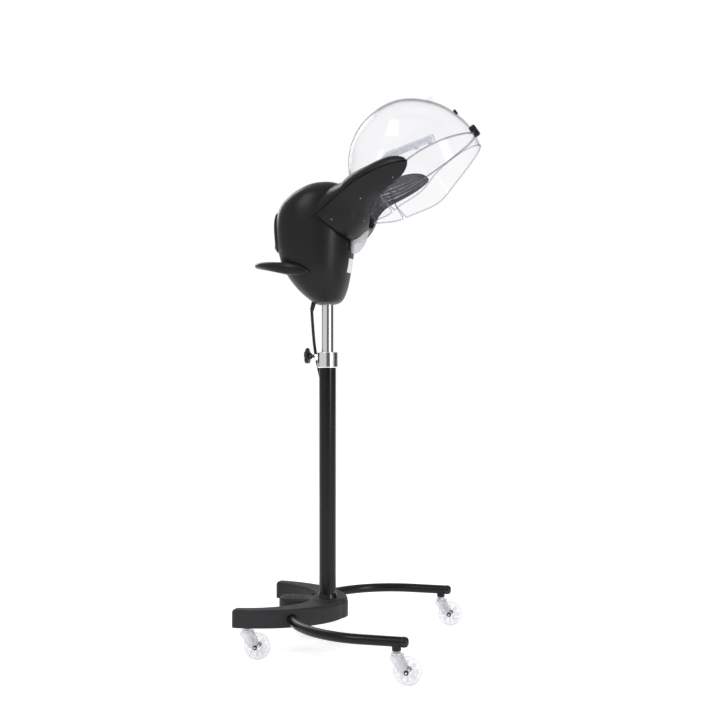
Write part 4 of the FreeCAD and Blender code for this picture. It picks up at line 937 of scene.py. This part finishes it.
BOARD = moulded("board_green", (0.03, 0.16, 0.07), 0.4, 900.0, 0.03)
CORD_BLACK = moulded("cord_black", (0.008, 0.008, 0.009), 0.42, 900.0, 0.05)

FINISHES = {"black_shell": SHELL_BLACK, "black_textured": BASE_BLACK, "black_gloss": GLOSS_BLACK,
            "black_paint": PAINT_BLACK, "chrome": CHROME, "steel": STEEL, "clear_hood": HOOD_CLEAR,
            "clear_wheel": WHEEL_CLEAR, "milky": MILKY, "white_label": WHITE, "nylon": NYLON,
            "stainless": STEEL, "circuit": BOARD, "tank_white": NYLON, "cord_black": CORD_BLACK}
SLOTS = {entry["node"]: entry["material_slot"] for entry in frame["record"]["subparts"]}
for entry, slot_name in SLOTS.items():
    finish_of(entry, FINISHES[slot_name])
make_cord(CORD_BLACK)

build("pod_skin", "head", SHELL_BLACK, [(head_half(False), True)],
      ["pod_shell_left", "pod_shell_right"], closed=False)
build("dome_skin", "head", SHELL_BLACK, [(head_half(True), True)], ["rear_dome"],
      closed=False)
build("collar_cover", "head", SHELL_BLACK, top_cover(), ["collar_top_cover"],
      closed=False)
for side, label in ((1, "left"), (-1, "right")):
    build("collar_side_" + label, "head", SHELL_BLACK,
          [(side_panel(side), False)], ["side_panel_" + label], closed=False)
build("arm_linings", "head", LINING_BLACK,
      [(arm_lining(side), False) for side in (1, -1)], ["hood_cradle"], closed=False)
make_hood()
build("panel_skin", "head", GLOSS_BLACK, [(control_panel(), True)], ["control_panel"],
      closed=False)
build("logic_board", "head", BOARD,
      [pillow((-103.2, 0.0, 961.0), (0.8, 32.0, 21.0), 12.0)], ["circuit_board"])
thicken(build("cup_shell", "cup", MILKY, [(drip_cup(), True)], ["drip_cup"], closed=False),
        CUP_WALL)
build("hinge_lugs", "head", GLOSS_BLACK,
      [hood_block(313.0, y, 38.0, (8.0, 2.6, 8.5)) for y in (-9.0, 9.0)], ["hinge_block"])
build("visor_lug", "visor_flap", GLOSS_BLACK,
      [hood_block(313.5, 0.0, 28.0, (7.5, 5.6, 8.5))], ["visor_tab"])
CAP = rounded([(239.0, 0.0), (239.0, 11.3), (242.0, 11.9), (245.0, 11.4), (249.5, 10.6), (252.8, 6.5),
               (253.8, 0.0)], 2.2)
build("leg_end_caps", "stand", GLOSS_BLACK,
      [(turned(CAP, (0.0, y, 90.0), (1, 0, 0), 48), True) for y in (-268.0, 268.0)], ["leg_caps"])
# Raised lines along the arm linings, coloured light blue-grey so that they are painted highlight lines on the
# dark lining.
highlight_rails = [bead(arm_lining(side)[row, 34:-14], 0.9, sides=8) for side in (1, -1) for row in (9, 19, 24)]
build("arm_highlight_rails", "head", HIGHLIGHT_AND_SCREW_METAL, [(highlight_rail, True) for highlight_rail in highlight_rails])
# Dark discs in place of the screw heads: their dark colour is painted shade, standing for the recess round
# each screw.
build("screw_recess_shade", "head", GLOSS_BLACK, screw_heads(3.3, 0.25), ["panel_screws"])
build("screw_centres", "head", HIGHLIGHT_AND_SCREW_METAL, screw_heads(1.2, 0.5))
build("hood_clip", "head", GLOSS_BLACK, [hood_block(303.0, 0.0, 97.0, (3.2, 7.0, 6.5))])
build("handle_bar", "head", SHELL_BLACK, [(handle_loop(), True)], ["handle"])
build("clamp_knob", "knob", GLOSS_BLACK, star_knob(), ["lock_knob"])
make_casters()
